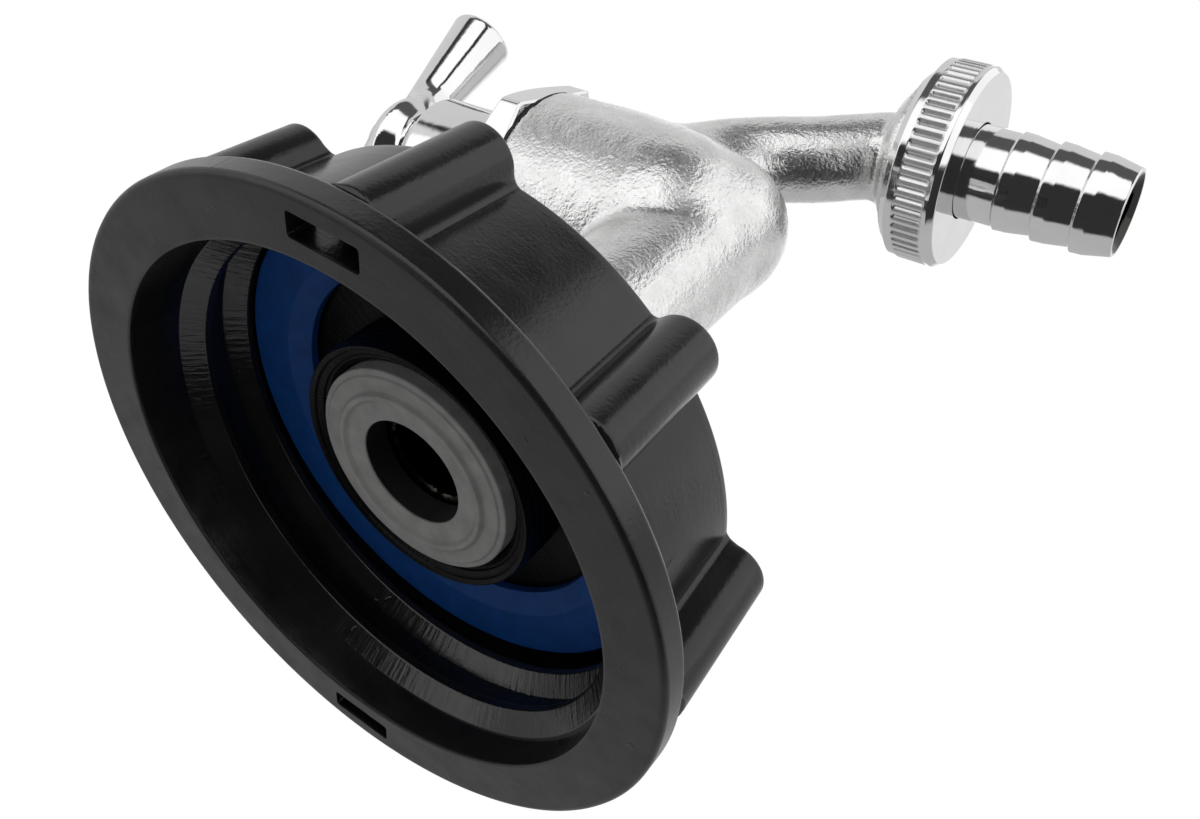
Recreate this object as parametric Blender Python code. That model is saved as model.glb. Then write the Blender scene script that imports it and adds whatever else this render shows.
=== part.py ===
"""Tank outlet valve: a screw cap that turns freely on a plastic bush, a screw-down brass tap with a
T-handle, and a hose tail held by a knurled union nut.

Metres, +Z up. The origin is the centre of the cap's mouth, on the axis of its thread. +X runs from the
mouth into the tap, and +Z runs up through the tap's spindle to the handle.
"""
from math import cos, pi, radians, sin, sqrt

import bmesh
import bpy
from mathutils import Matrix, Vector

MM = 0.001

# Gap left between pieces that touch on the real valve
TOUCH = 0.3 * MM

# How far a cutter or a joined form runs past the face that it meets
PAST = 1.0 * MM

# Cap: flange, tapered wall, floor, thread, ribs and pockets
THREAD_ROOT_RADIUS = 30.3 * MM
THREAD_DEPTH = 2.0 * MM
THREAD_PITCH = 6.0 * MM
THREAD_CREST_WIDTH = 3.0 * MM
THREAD_BASE_WIDTH = 4.4 * MM
THREAD_START_X = 2.6 * MM
THREAD_TURNS = 1.66
THREAD_START_ANGLE = -148.0
MOUTH_CHAMFER_HEIGHT = 0.7 * MM
MOUTH_CHAMFER = 1.4 * MM
CAP_DEPTH = 20.8 * MM
CAP_WALL = 2.4 * MM
CAP_DRAFT = 1.2 * MM
CAP_FLOOR_THICKNESS = 2.1 * MM
CAP_EDGE = 0.4 * MM
FLANGE_WIDTH = 4.8 * MM
FLANGE_THICKNESS = 3.2 * MM
RIB_COUNT = 8
RIB_PHASE = 7.3
RIB_WIDTH = 7.0 * MM
RIB_HEIGHT = 4.9 * MM
RIB_ROOT_DEPTH = 1.2 * MM
RIB_END_SETBACK = 0.3 * MM
POCKET_WIDTH = 8.0 * MM
POCKET_INSET = 0.1 * MM
POCKET_HEIGHT = 2.6 * MM
POCKET_DEPTH = 5.0 * MM

# Inlet of the tap, and the bush screwed over it that the cap turns on
INLET_BORE = 5.6 * MM
INLET_THREAD_RADIUS = 13.0 * MM
INLET_CHAMFER = 0.8 * MM
COLLAR_OVERLAP = 1.9 * MM
COLLAR_THICKNESS = 2.6 * MM
BUSH_BOSS_WALL = 1.8 * MM
BUSH_BOSS_RISE = 4.5 * MM
BUSH_SLEEVE_WALL = 3.0 * MM
BUSH_FLANGE_CLEARANCE = 1.3 * MM
BUSH_FLANGE_THICKNESS = 1.5 * MM
BUSH_BORE_CHAMFER = 0.8 * MM

# Seals at the inlet
MOUTH_SEAL_THICKNESS = 2.2 * MM
MOUTH_SEAL_WIDTH = 7.0 * MM
PROFILE_WASHER_PROUD = 0.4 * MM
PROFILE_WASHER_THICKNESS = 3.4 * MM
PROFILE_WASHER_CLEARANCE = 1.0 * MM
PROFILE_WASHER_WIDTH = 5.9 * MM
PROFILE_WASHER_BEAD = 0.35 * MM
PROFILE_WASHER_BEAD_HALF_WIDTH = 0.56 * MM
INLET_SEAL_THICKNESS = 1.0 * MM

# Tap casting: neck, nose and barrel
NECK_RADIUS = 10.5 * MM
NECK_FILLET = 1.5 * MM
NECK_LENGTH = 41.3 * MM
NOSE_OFFSET = 5.8 * MM
NOSE_RISE = 0.3 * MM
BARREL_WALL = 2.4 * MM
BARREL_TAPER = 0.4 * MM
BARREL_HEIGHT = 24.0 * MM
BARREL_EDGE = 0.3 * MM
BARREL_SHOULDER_Z = 5.0 * MM
BARREL_SHOULDER_DEPTH = 12.5 * MM
LOWER_CHAMBER_RADIUS = 6.8 * MM
LOWER_CHAMBER_OFFSET = 2.5 * MM
LOWER_CHAMBER_Z = -0.8 * MM
SEAT_WALL = 2.0 * MM
SEAT_HOLE_RADIUS = 5.5 * MM
SEAT_LIP_WIDTH = 1.5 * MM
SEAT_LIP_HEIGHT = 1.2 * MM

# Spout and nozzle
SPOUT_REACH = 40.8 * MM
SPOUT_BORE = 4.6 * MM
SPOUT_WALL = 2.1 * MM
SPOUT_START = 5.0 * MM
SPOUT_START_RISE = 5.0 * MM
SPOUT_TOP_PULL = (12.0 * MM, 3.0 * MM)
SPOUT_SLOPE_PULL = (6.0 * MM, -9.2 * MM)
SPOUT_JOIN_PULL = (3.5 * MM, -5.4 * MM)
SPOUT_JOIN_FROM_OUTLET = 10.8 * MM
SPOUT_JOIN_FROM_END = 17.0 * MM
SPOUT_END_INSIDE = 2.2 * MM
SPOUT_END_PULL = (-1.3 * MM, 5.3 * MM)
NOZZLE_DROP = 18.2 * MM
NOZZLE_THREAD_LENGTH = 3.4 * MM
NOZZLE_THREAD_RADIUS = 13.0 * MM
NOZZLE_SHOULDER_STEP = 2.0 * MM
NOZZLE_SHOULDER_THICKNESS = 1.0 * MM
NOZZLE_FLARE_LENGTH = 1.6 * MM
NOZZLE_EDGE = 0.5 * MM

# Spindle and valve disc
SPINDLE_RADIUS = 4.0 * MM
SPINDLE_THREAD_STEP = 1.0 * MM
SPINDLE_LIFT = 5.0 * MM
SPINDLE_TAPER = 1.0 * MM
DISC_RADIUS = 8.5 * MM
DISC_EDGE = 0.4 * MM
DISC_THICKNESS = 2.0 * MM
DISC_CLEARANCE = 3.8 * MM
DISC_STEM_RADIUS = 2.5 * MM
DISC_STEM_LENGTH = 6.5 * MM
DISC_STUD_RADIUS = 1.8 * MM
DISC_STUD_SPARE = 0.5 * MM
SOCKET_SPARE = 0.5 * MM
WASHER_THICKNESS = 2.0 * MM
WASHER_NUT_ACROSS_FLATS = 6.6 * MM
WASHER_NUT_THICKNESS = 2.0 * MM

# Bonnet, gland and packing
HEX_MARGIN = 2.1 * MM
HEX_HEIGHT = 3.7 * MM
HEX_TURN = 20.0
HEX_CHAMFER = 1.1 * MM
BONNET_GASKET_THICKNESS = 0.7 * MM
BONNET_GASKET_EDGE = 0.4 * MM
BONNET_SPIGOT_LENGTH = 5.8 * MM
BONNET_NECK_HEIGHT = 9.0 * MM
BONNET_NECK_WALL = 1.2 * MM
STUFFING_BOX_DEPTH = 5.5 * MM
STUFFING_BOX_FLOOR_THICKNESS = 2.0 * MM
PACKING_WIDTH = 2.2 * MM
PACKING_RING_THICKNESS = 2.0 * MM
FOLLOWER_RIM_THICKNESS = 2.2 * MM
GLAND_NUT_WALL = 2.1 * MM
GLAND_NUT_HEAD = 5.7 * MM
GLAND_NUT_ROUND = 1.3 * MM

# T-handle and its screw
HANDLE_TURN = -23.4
HUB_CLEARANCE = 0.8 * MM
HUB_HEIGHT = 11.2 * MM
HUB_SKIRT_RADIUS = 6.4 * MM
HUB_SKIRT_HEIGHT = 1.5 * MM
HUB_RADIUS = 7.8 * MM
HUB_BAND = 3.0 * MM
HUB_SOCKET_START = 2.0 * MM
ARM_HEIGHT = 5.7 * MM
ARM_ROOT_RADIUS = 3.3 * MM
ARM_END_RADIUS = 5.1 * MM
ARM_REACH = 25.0 * MM
ARM_DOME = 1.6 * MM
SCREW_RECESS = 2.3 * MM
SCREW_COVER = 2.0 * MM
SCREW_HEAD_RADIUS = 3.6 * MM
SCREW_HEAD_THICKNESS = 2.0 * MM
SCREW_HEAD_EDGE = 0.5 * MM
SCREW_RADIUS = 1.9 * MM
SCREW_LENGTH = 6.5 * MM
SCREW_SLOT_WIDTH = 0.9 * MM
SCREW_SLOT_DEPTH = 0.8 * MM

# Union nut, gasket and hose tail
NUT_WALL = 1.7 * MM
NUT_CHAMFER = 1.5 * MM
NUT_TOP_GAP = 0.7 * MM
NUT_LIP_THICKNESS = 1.3 * MM
NUT_HOLE_CLEARANCE = 0.15 * MM
KNURL_COUNT = 60
KNURL_DEPTH = 0.45 * MM
KNURL_TOP_MARGIN = 1.8 * MM
KNURL_BOTTOM_MARGIN = 2.1 * MM
TAIL_BORE = 4.9 * MM
TAIL_END_WALL = 1.5 * MM
TAIL_VALLEY_WALL = 1.8 * MM
TAIL_COLLAR_WALL = 2.1 * MM
TAIL_BARB_WALL = 2.45 * MM
TAIL_GASKET_THICKNESS = 1.8 * MM
TAIL_FLANGE_STEP = 1.2 * MM
TAIL_FLANGE_THICKNESS = 1.6 * MM
TAIL_COLLAR_LENGTH = 7.4 * MM
TAIL_BARB_COUNT = 3
TAIL_BARBS_LENGTH = 16.6 * MM
TAIL_BARB_STEP = 0.3 * MM
TAIL_END_ROUND = 0.5 * MM

# Segments of round pieces, by size
SEGMENTS_LARGE = 56
SEGMENTS_MEDIUM = 36
SEGMENTS_SMALL = 20

# Cap and inlet: radii and places that follow
THREAD_CREST_RADIUS = THREAD_ROOT_RADIUS - THREAD_DEPTH
MOUTH_RADIUS = THREAD_ROOT_RADIUS + MOUTH_CHAMFER_HEIGHT
WALL_FRONT_RADIUS = THREAD_ROOT_RADIUS + CAP_WALL
WALL_BACK_RADIUS = WALL_FRONT_RADIUS - CAP_DRAFT
FLANGE_RADIUS = WALL_FRONT_RADIUS + FLANGE_WIDTH
POCKET_INNER_RADIUS = WALL_FRONT_RADIUS + POCKET_INSET
BUSH_BORE = INLET_THREAD_RADIUS + TOUCH
BUSH_BOSS_RADIUS = BUSH_BORE + BUSH_BOSS_WALL
BUSH_SLEEVE_RADIUS = BUSH_BORE + BUSH_SLEEVE_WALL
BUSH_FLANGE_RADIUS = THREAD_ROOT_RADIUS - BUSH_FLANGE_CLEARANCE
CAP_HOLE_RADIUS = BUSH_SLEEVE_RADIUS + TOUCH
COLLAR_RADIUS = CAP_HOLE_RADIUS + COLLAR_OVERLAP
CAP_FLOOR_X = CAP_DEPTH - CAP_FLOOR_THICKNESS
BUSH_FLANGE_BACK_X = CAP_FLOOR_X - TOUCH
BUSH_FLANGE_X = BUSH_FLANGE_BACK_X - BUSH_FLANGE_THICKNESS
MOUTH_SEAL_BACK_X = BUSH_FLANGE_X - TOUCH
MOUTH_SEAL_X = MOUTH_SEAL_BACK_X - MOUTH_SEAL_THICKNESS
MOUTH_SEAL_OUTER_RADIUS = THREAD_CREST_RADIUS - TOUCH
MOUTH_SEAL_INNER_RADIUS = MOUTH_SEAL_OUTER_RADIUS - MOUTH_SEAL_WIDTH
BUSH_FRONT_X = MOUTH_SEAL_X - BUSH_BOSS_RISE
COLLAR_X = CAP_DEPTH + TOUCH
INLET_SEAL_BACK_X = COLLAR_X - TOUCH
INLET_SEAL_X = INLET_SEAL_BACK_X - INLET_SEAL_THICKNESS
BUSH_BACK_X = INLET_SEAL_X - TOUCH
PROFILE_WASHER_FRONT_X = BUSH_FRONT_X - PROFILE_WASHER_PROUD
PROFILE_WASHER_BACK_X = PROFILE_WASHER_FRONT_X + PROFILE_WASHER_THICKNESS
PROFILE_WASHER_RADIUS = BUSH_BORE - PROFILE_WASHER_CLEARANCE
PROFILE_WASHER_HOLE = PROFILE_WASHER_RADIUS - PROFILE_WASHER_WIDTH
PROFILE_WASHER_BEAD_RADIUS = (PROFILE_WASHER_RADIUS + PROFILE_WASHER_HOLE) / 2.0
INLET_END_X = PROFILE_WASHER_BACK_X + TOUCH

# Tap casting: radii and places that follow
SPINDLE_X = COLLAR_X + COLLAR_THICKNESS + NECK_LENGTH
NOSE_X = SPINDLE_X + NOSE_OFFSET
LOWER_CHAMBER_X = SPINDLE_X + LOWER_CHAMBER_OFFSET
OUTLET_X = SPINDLE_X + SPOUT_REACH
CHAMBER_RADIUS = DISC_RADIUS + DISC_CLEARANCE
BARREL_RADIUS = CHAMBER_RADIUS + BARREL_WALL
BARREL_WAIST_RADIUS = BARREL_RADIUS - BARREL_TAPER
CHAMBER_FLOOR_Z = LOWER_CHAMBER_Z + LOWER_CHAMBER_RADIUS + SEAT_WALL
SEAT_Z = CHAMBER_FLOOR_Z + SEAT_LIP_HEIGHT
SEAT_LIP_RADIUS = SEAT_HOLE_RADIUS + SEAT_LIP_WIDTH
SPOUT_RADIUS = SPOUT_BORE + SPOUT_WALL
SPOUT_ROOT_Z = CHAMBER_FLOOR_Z + SPOUT_START_RISE
NOZZLE_END_Z = -NOZZLE_DROP
NOZZLE_THREAD_TOP_Z = NOZZLE_END_Z + NOZZLE_THREAD_LENGTH
NOZZLE_SHOULDER_TOP_Z = NOZZLE_THREAD_TOP_Z + NOZZLE_SHOULDER_THICKNESS
NOZZLE_SHOULDER_RADIUS = NOZZLE_THREAD_RADIUS - NOZZLE_SHOULDER_STEP

# Valve disc, spindle, bonnet and gland: radii and places that follow
WASHER_RADIUS = DISC_RADIUS - TOUCH
WASHER_Z = SEAT_Z + TOUCH
WASHER_NUT_Z = WASHER_Z - TOUCH - WASHER_NUT_THICKNESS
DISC_Z = WASHER_Z + WASHER_THICKNESS + TOUCH
DISC_TOP_Z = DISC_Z + DISC_THICKNESS
SPINDLE_Z = DISC_TOP_Z + TOUCH
SPINDLE_CLEAR_RADIUS = SPINDLE_RADIUS + TOUCH
SPINDLE_THREAD_RADIUS = SPINDLE_RADIUS + SPINDLE_THREAD_STEP
THREAD_CLEAR_RADIUS = SPINDLE_THREAD_RADIUS + TOUCH
SPINDLE_SOCKET_RADIUS = DISC_STEM_RADIUS + TOUCH
HEX_ACROSS_FLATS = 2.0 * (CHAMBER_RADIUS + HEX_MARGIN)
BONNET_GASKET_Z = BARREL_HEIGHT + TOUCH
BONNET_GASKET_INNER_RADIUS = CHAMBER_RADIUS + TOUCH
BONNET_GASKET_OUTER_RADIUS = BARREL_RADIUS - BONNET_GASKET_EDGE
HEX_BOTTOM_Z = BONNET_GASKET_Z + BONNET_GASKET_THICKNESS + TOUCH
HEX_TOP_Z = HEX_BOTTOM_Z + HEX_HEIGHT
BONNET_SPIGOT_BOTTOM_Z = HEX_BOTTOM_Z - BONNET_SPIGOT_LENGTH
BONNET_TOP_Z = HEX_TOP_Z + BONNET_NECK_HEIGHT
STUFFING_BOX_RADIUS = SPINDLE_RADIUS + PACKING_WIDTH
STUFFING_BOX_FLOOR_Z = BONNET_TOP_Z - STUFFING_BOX_DEPTH
STUFFING_BOX_UNDERSIDE_Z = STUFFING_BOX_FLOOR_Z - STUFFING_BOX_FLOOR_THICKNESS
SPINDLE_SHOULDER_Z = STUFFING_BOX_UNDERSIDE_Z - SPINDLE_LIFT - SPINDLE_TAPER
BONNET_NECK_RADIUS = STUFFING_BOX_RADIUS + BONNET_NECK_WALL
LOWER_PACKING_Z = STUFFING_BOX_FLOOR_Z + TOUCH
UPPER_PACKING_Z = LOWER_PACKING_Z + PACKING_RING_THICKNESS + TOUCH
FOLLOWER_Z = UPPER_PACKING_Z + PACKING_RING_THICKNESS + TOUCH
FOLLOWER_RIM_Z = BONNET_TOP_Z + TOUCH
FOLLOWER_TOP_Z = FOLLOWER_RIM_Z + FOLLOWER_RIM_THICKNESS
GLAND_SHOULDER_Z = FOLLOWER_TOP_Z + TOUCH
GLAND_NUT_BORE = BONNET_NECK_RADIUS + TOUCH
GLAND_NUT_RADIUS = GLAND_NUT_BORE + GLAND_NUT_WALL
GLAND_NUT_BOTTOM_Z = HEX_TOP_Z + TOUCH
GLAND_NUT_TOP_Z = GLAND_SHOULDER_Z + GLAND_NUT_HEAD

# Handle: places that follow
HUB_BOTTOM_Z = GLAND_NUT_TOP_Z + HUB_CLEARANCE
HUB_TOP_Z = HUB_BOTTOM_Z + HUB_HEIGHT
HANDLE_AXIS_Z = HUB_BOTTOM_Z + ARM_HEIGHT
SCREW_SEAT_Z = HUB_TOP_Z - SCREW_RECESS
SPINDLE_TOP_Z = SCREW_SEAT_Z - SCREW_COVER
SQUARE_ACROSS_FLATS = 1.5 * SPINDLE_RADIUS

# Union: radii and places that follow
TAIL_GASKET_Z = NOZZLE_END_Z - TOUCH
TAIL_GASKET_LOW_Z = TAIL_GASKET_Z - TAIL_GASKET_THICKNESS
TAIL_FLANGE_Z = TAIL_GASKET_LOW_Z - TOUCH
TAIL_FLANGE_BACK_Z = TAIL_FLANGE_Z - TAIL_FLANGE_THICKNESS
TAIL_FLANGE_RADIUS = NOZZLE_THREAD_RADIUS - TAIL_FLANGE_STEP
TAIL_COLLAR_RADIUS = TAIL_BORE + TAIL_COLLAR_WALL
TAIL_BARB_RADIUS = TAIL_BORE + TAIL_BARB_WALL
TAIL_VALLEY_RADIUS = TAIL_BORE + TAIL_VALLEY_WALL
TAIL_END_RADIUS = TAIL_BORE + TAIL_END_WALL
TAIL_FIRST_BARB_Z = TAIL_FLANGE_BACK_Z - TAIL_COLLAR_LENGTH
TAIL_END_Z = TAIL_FIRST_BARB_Z - TAIL_BARBS_LENGTH
NUT_LIP_Z = TAIL_FLANGE_BACK_Z - TOUCH
NUT_BOTTOM_Z = NUT_LIP_Z - NUT_LIP_THICKNESS
NUT_TOP_Z = NOZZLE_THREAD_TOP_Z - NUT_TOP_GAP
NUT_BORE = NOZZLE_THREAD_RADIUS + TOUCH
NUT_RADIUS = NUT_BORE + NUT_WALL
NUT_HOLE_RADIUS = TAIL_BARB_RADIUS + NUT_HOLE_CLEARANCE
KNURL_TOP_Z = NUT_TOP_Z - KNURL_TOP_MARGIN
KNURL_BOTTOM_Z = NUT_BOTTOM_Z + KNURL_BOTTOM_MARGIN

FINISHES = {
    "black_plastic": ((0.016, 0.016, 0.017), 0.38, 0.0),
    "blue_rubber": ((0.010, 0.060, 0.230), 0.70, 0.0),
    "grey_rubber": ((0.300, 0.300, 0.305), 0.75, 0.0),
    "black_rubber": ((0.020, 0.020, 0.020), 0.80, 0.0),
    "fibre": ((0.300, 0.120, 0.070), 0.90, 0.0),
    "cast_nickel": ((0.620, 0.615, 0.600), 0.42, 1.0),
    "chrome": ((0.780, 0.780, 0.790), 0.12, 1.0),
    "brass": ((0.720, 0.500, 0.220), 0.30, 1.0),
    "graphite_packing": ((0.060, 0.060, 0.065), 0.85, 0.0),
}


def clear_scene():
    """Removes every object of the open scene."""
    for thing in list(bpy.data.objects):
        bpy.data.objects.remove(thing, do_unlink=True)


def finish_of(name):
    """Returns the Principled material of one finish, made once."""
    if name in bpy.data.materials:
        return bpy.data.materials[name]
    colour, roughness, metallic = FINISHES[name]
    material = bpy.data.materials.new(name)
    material.use_nodes = True
    shader = material.node_tree.nodes["Principled BSDF"]
    shader.inputs["Base Color"].default_value = (*colour, 1.0)
    shader.inputs["Roughness"].default_value = roughness
    shader.inputs["Metallic"].default_value = metallic
    return material


def axis_empty(name, x):
    """An empty on a vertical axis of the valve, or on the inlet's axis where x is 0."""
    empty = bpy.data.objects.new(name, None)
    empty.location = (x, 0.0, 0.0)
    bpy.context.collection.objects.link(empty)
    return empty


def add_piece(name, bm, finish, parent=None):
    """Closes a bmesh into a named, smooth-shaded object with its own finish."""
    bmesh.ops.recalc_face_normals(bm, faces=bm.faces)
    mesh = bpy.data.meshes.new(name)
    bm.to_mesh(mesh)
    bm.free()
    mesh.shade_smooth()
    mesh.set_sharp_from_angle(angle=radians(32))
    piece = bpy.data.objects.new(name, mesh)
    piece.parent = parent
    mesh.materials.append(finish_of(finish))
    bpy.context.collection.objects.link(piece)
    return piece


def turned(points, axis, segments, centre=(0.0, 0.0, 0.0)):
    """A solid of revolution: the outline is (place along the axis, radius), spun a full turn.

    An outline that starts and ends at radius 0 makes a solid; any other is closed into a ring.
    """
    bm = bmesh.new()
    place = Vector(centre)
    if axis == "X":
        corners = [bm.verts.new(place + Vector((a, 0.0, r))) for a, r in points]
        direction = Vector((1.0, 0.0, 0.0))
    else:
        corners = [bm.verts.new(place + Vector((r, 0.0, a))) for a, r in points]
        direction = Vector((0.0, 0.0, 1.0))
    edges = [bm.edges.new(pair) for pair in zip(corners, corners[1:])]
    if points[0][1] > 0.0:
        edges.append(bm.edges.new((corners[-1], corners[0])))
    bmesh.ops.spin(bm, geom=corners + edges, cent=place, axis=direction, angle=2.0 * pi,
                   steps=segments, use_merge=True)
    bmesh.ops.remove_doubles(bm, verts=bm.verts, dist=1e-7)
    return bm


def prism(outline, low, high, turn=Matrix()):
    """An outline of (x, y) points raised from low to high, then turned into place."""
    bm = bmesh.new()
    base = [bm.verts.new((x, y, low)) for x, y in outline]
    bottom = bm.faces.new(base)
    raised = bmesh.ops.extrude_face_region(bm, geom=[bottom])["geom"]
    tops = [v for v in raised if isinstance(v, bmesh.types.BMVert)]
    bmesh.ops.translate(bm, verts=tops, vec=(0.0, 0.0, high - low))
    bmesh.ops.transform(bm, matrix=turn, verts=bm.verts)
    return bm


def skin_rings(rings):
    """Joins rings of points, each with as many points, into one closed tube."""
    bm = bmesh.new()
    loops = [[bm.verts.new(p) for p in ring] for ring in rings]
    count = len(loops[0])
    for first, second in zip(loops, loops[1:]):
        for i in range(count):
            j = (i + 1) % count
            bm.faces.new((first[i], first[j], second[j], second[i]))
    bm.faces.new(loops[0][::-1])
    bm.faces.new(loops[-1])
    return bm


def absorb(bm, other):
    """Adds the mesh of another bmesh to the first one."""
    mesh = bpy.data.meshes.new("absorbed")
    other.to_mesh(mesh)
    other.free()
    bm.from_mesh(mesh)
    bpy.data.meshes.remove(mesh)
    return bm


def boolean(target, operation, name, bm):
    """Joins a shape to a piece, or cuts it out, with a hidden operand and the exact solver."""
    operand = add_piece(name, bm, "black_plastic", target.parent)
    operand.hide_render = True
    operand.display_type = "WIRE"
    modifier = target.modifiers.new(name, "BOOLEAN")
    modifier.operation = operation
    modifier.solver = "EXACT"
    modifier.object = operand


def hexagon(across_flats, turn=0.0):
    """The corners of a hexagon of a given width across its flats."""
    radius = across_flats / sqrt(3.0)
    angles = [radians(turn + 60.0 * i) for i in range(6)]
    return [(radius * cos(a), radius * sin(a)) for a in angles]


def arc(centre, radius, start, end, count):
    """Points (u, v) of an arc, with angles in degrees from +u towards +v."""
    steps = [radians(start + (end - start) * i / count) for i in range(count + 1)]
    return [(centre[0] + radius * cos(a), centre[1] + radius * sin(a)) for a in steps]


def rib(angle):
    """One grip rib: an arched section lofted along the tapered wall, turned to its place."""
    rings = []
    straight = RIB_HEIGHT - RIB_WIDTH / 2.0
    for x in (FLANGE_THICKNESS - PAST, CAP_DEPTH - RIB_END_SETBACK):
        share = (x - FLANGE_THICKNESS) / (CAP_DEPTH - FLANGE_THICKNESS)
        wall = WALL_FRONT_RADIUS + (WALL_BACK_RADIUS - WALL_FRONT_RADIUS) * share
        top = arc((0.0, wall + straight), RIB_WIDTH / 2.0, 180.0, 0.0, 8)
        foot = wall - RIB_ROOT_DEPTH
        section = [(-RIB_WIDTH / 2.0, foot)] + top + [(RIB_WIDTH / 2.0, foot)]
        rings.append([Vector((x, -across, out)) for across, out in section])
    bm = skin_rings(rings)
    turn = Matrix.Rotation(radians(angle - 90.0), 4, "X")
    bmesh.ops.transform(bm, matrix=turn, verts=bm.verts)
    return bm


def pocket(angle):
    """One rectangular pocket through the flange, wider than the rib that it runs under."""
    half = POCKET_WIDTH / 2.0
    outer = POCKET_INNER_RADIUS + POCKET_HEIGHT
    outline = [(-PAST, -half), (POCKET_DEPTH, -half), (POCKET_DEPTH, half), (-PAST, half)]
    turn = Matrix.Rotation(radians(angle - 90.0), 4, "X")
    return prism(outline, POCKET_INNER_RADIUS, outer, turn)


def cap_thread():
    """The cap's coarse ridge: a trapezoid carried along a helix, running out at both ends."""
    steps = round(THREAD_TURNS * 48)
    run_out = 5
    rings = []
    for i in range(steps + 1):
        turns = THREAD_TURNS * i / steps
        angle = radians(THREAD_START_ANGLE) + 2.0 * pi * turns
        x = THREAD_START_X + THREAD_PITCH * turns
        height = min(1.0, i / run_out, (steps - i) / run_out)
        crest = THREAD_ROOT_RADIUS + 0.8 * TOUCH
        crest += (THREAD_CREST_RADIUS - crest) * height
        half_base = THREAD_BASE_WIDTH / 2.0
        half_crest = THREAD_CREST_WIDTH / 2.0
        foot = THREAD_ROOT_RADIUS + 2.0 * TOUCH
        base = THREAD_ROOT_RADIUS + TOUCH
        section = [(-half_base, foot), (-half_base, base), (-half_crest, crest), (half_crest, crest),
                   (half_base, base), (half_base, foot)]
        rings.append([Vector((x + a, r * cos(angle), r * sin(angle))) for a, r in section])
    return skin_rings(rings)


def make_cap(axis):
    """The cap: flange, tapered wall and floor turned in one, with ribs, thread and pockets."""
    edge = CAP_EDGE
    outline = [(0.0, MOUTH_RADIUS), (0.0, FLANGE_RADIUS - edge), (edge, FLANGE_RADIUS),
               (FLANGE_THICKNESS - edge, FLANGE_RADIUS), (FLANGE_THICKNESS, FLANGE_RADIUS - edge),
               (FLANGE_THICKNESS, WALL_FRONT_RADIUS), (CAP_DEPTH - edge, WALL_BACK_RADIUS),
               (CAP_DEPTH, WALL_BACK_RADIUS - edge), (CAP_DEPTH, CAP_HOLE_RADIUS),
               (CAP_FLOOR_X, CAP_HOLE_RADIUS), (CAP_FLOOR_X, THREAD_ROOT_RADIUS),
               (MOUTH_CHAMFER, THREAD_ROOT_RADIUS)]
    cap = add_piece("cap_nut", turned(outline, "X", SEGMENTS_LARGE), "black_plastic", axis)
    ribs = bmesh.new()
    for i in range(RIB_COUNT):
        absorb(ribs, rib(RIB_PHASE + 360.0 * i / RIB_COUNT))
    boolean(cap, "UNION", "cap_ribs", ribs)
    boolean(cap, "UNION", "cap_thread", cap_thread())
    pockets = absorb(pocket(RIB_PHASE), pocket(RIB_PHASE + 180.0))
    boolean(cap, "DIFFERENCE", "cap_pockets", pockets)


def make_bush(axis):
    """The black bush: a flange inside the cap, a threaded boss forward and a sleeve backward."""
    outline = [(BUSH_FRONT_X, BUSH_BORE + BUSH_BORE_CHAMFER), (BUSH_FRONT_X, BUSH_BOSS_RADIUS),
               (BUSH_FLANGE_X, BUSH_BOSS_RADIUS), (BUSH_FLANGE_X, BUSH_FLANGE_RADIUS),
               (BUSH_FLANGE_BACK_X, BUSH_FLANGE_RADIUS), (BUSH_FLANGE_BACK_X, BUSH_SLEEVE_RADIUS),
               (BUSH_BACK_X, BUSH_SLEEVE_RADIUS), (BUSH_BACK_X, BUSH_BORE),
               (BUSH_FRONT_X + BUSH_BORE_CHAMFER, BUSH_BORE)]
    add_piece("adaptor_bush", turned(outline, "X", SEGMENTS_LARGE), "black_plastic", axis)


def make_inlet_seals(axis):
    """The flat mouth seal, the beaded profile washer and the thin ring behind the bush."""
    outline = [(MOUTH_SEAL_X, MOUTH_SEAL_INNER_RADIUS), (MOUTH_SEAL_X, MOUTH_SEAL_OUTER_RADIUS),
               (MOUTH_SEAL_BACK_X, MOUTH_SEAL_OUTER_RADIUS), (MOUTH_SEAL_BACK_X, MOUTH_SEAL_INNER_RADIUS)]
    add_piece("mouth_seal_ring", turned(outline, "X", SEGMENTS_LARGE), "blue_rubber", axis)

    bead = arc((0.0, 0.0), 1.0, 180.0, 0.0, 4)
    crown = [(PROFILE_WASHER_FRONT_X - PROFILE_WASHER_BEAD * lift,
              PROFILE_WASHER_BEAD_RADIUS + PROFILE_WASHER_BEAD_HALF_WIDTH * along) for along, lift in bead]
    outline = [(PROFILE_WASHER_FRONT_X, PROFILE_WASHER_HOLE)] + crown
    outline += [(PROFILE_WASHER_FRONT_X, PROFILE_WASHER_RADIUS), (PROFILE_WASHER_BACK_X, PROFILE_WASHER_RADIUS),
                (PROFILE_WASHER_BACK_X, PROFILE_WASHER_HOLE)]
    add_piece("profile_washer", turned(outline, "X", SEGMENTS_MEDIUM), "grey_rubber", axis)

    outer = BUSH_SLEEVE_RADIUS - TOUCH
    outline = [(INLET_SEAL_X, BUSH_BORE), (INLET_SEAL_X, outer), (INLET_SEAL_BACK_X, outer),
               (INLET_SEAL_BACK_X, BUSH_BORE)]
    add_piece("inlet_seal_ring", turned(outline, "X", SEGMENTS_MEDIUM), "fibre", axis)


def bezier(points, count):
    """Points (x, z) along a cubic curve through its four control points' hull."""
    a, b, c, d = points
    steps = [i / count for i in range(count + 1)]
    return [a * (1 - t) ** 3 + b * 3 * t * (1 - t) ** 2 + c * 3 * t * t * (1 - t) + d * t ** 3 for t in steps]


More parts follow.
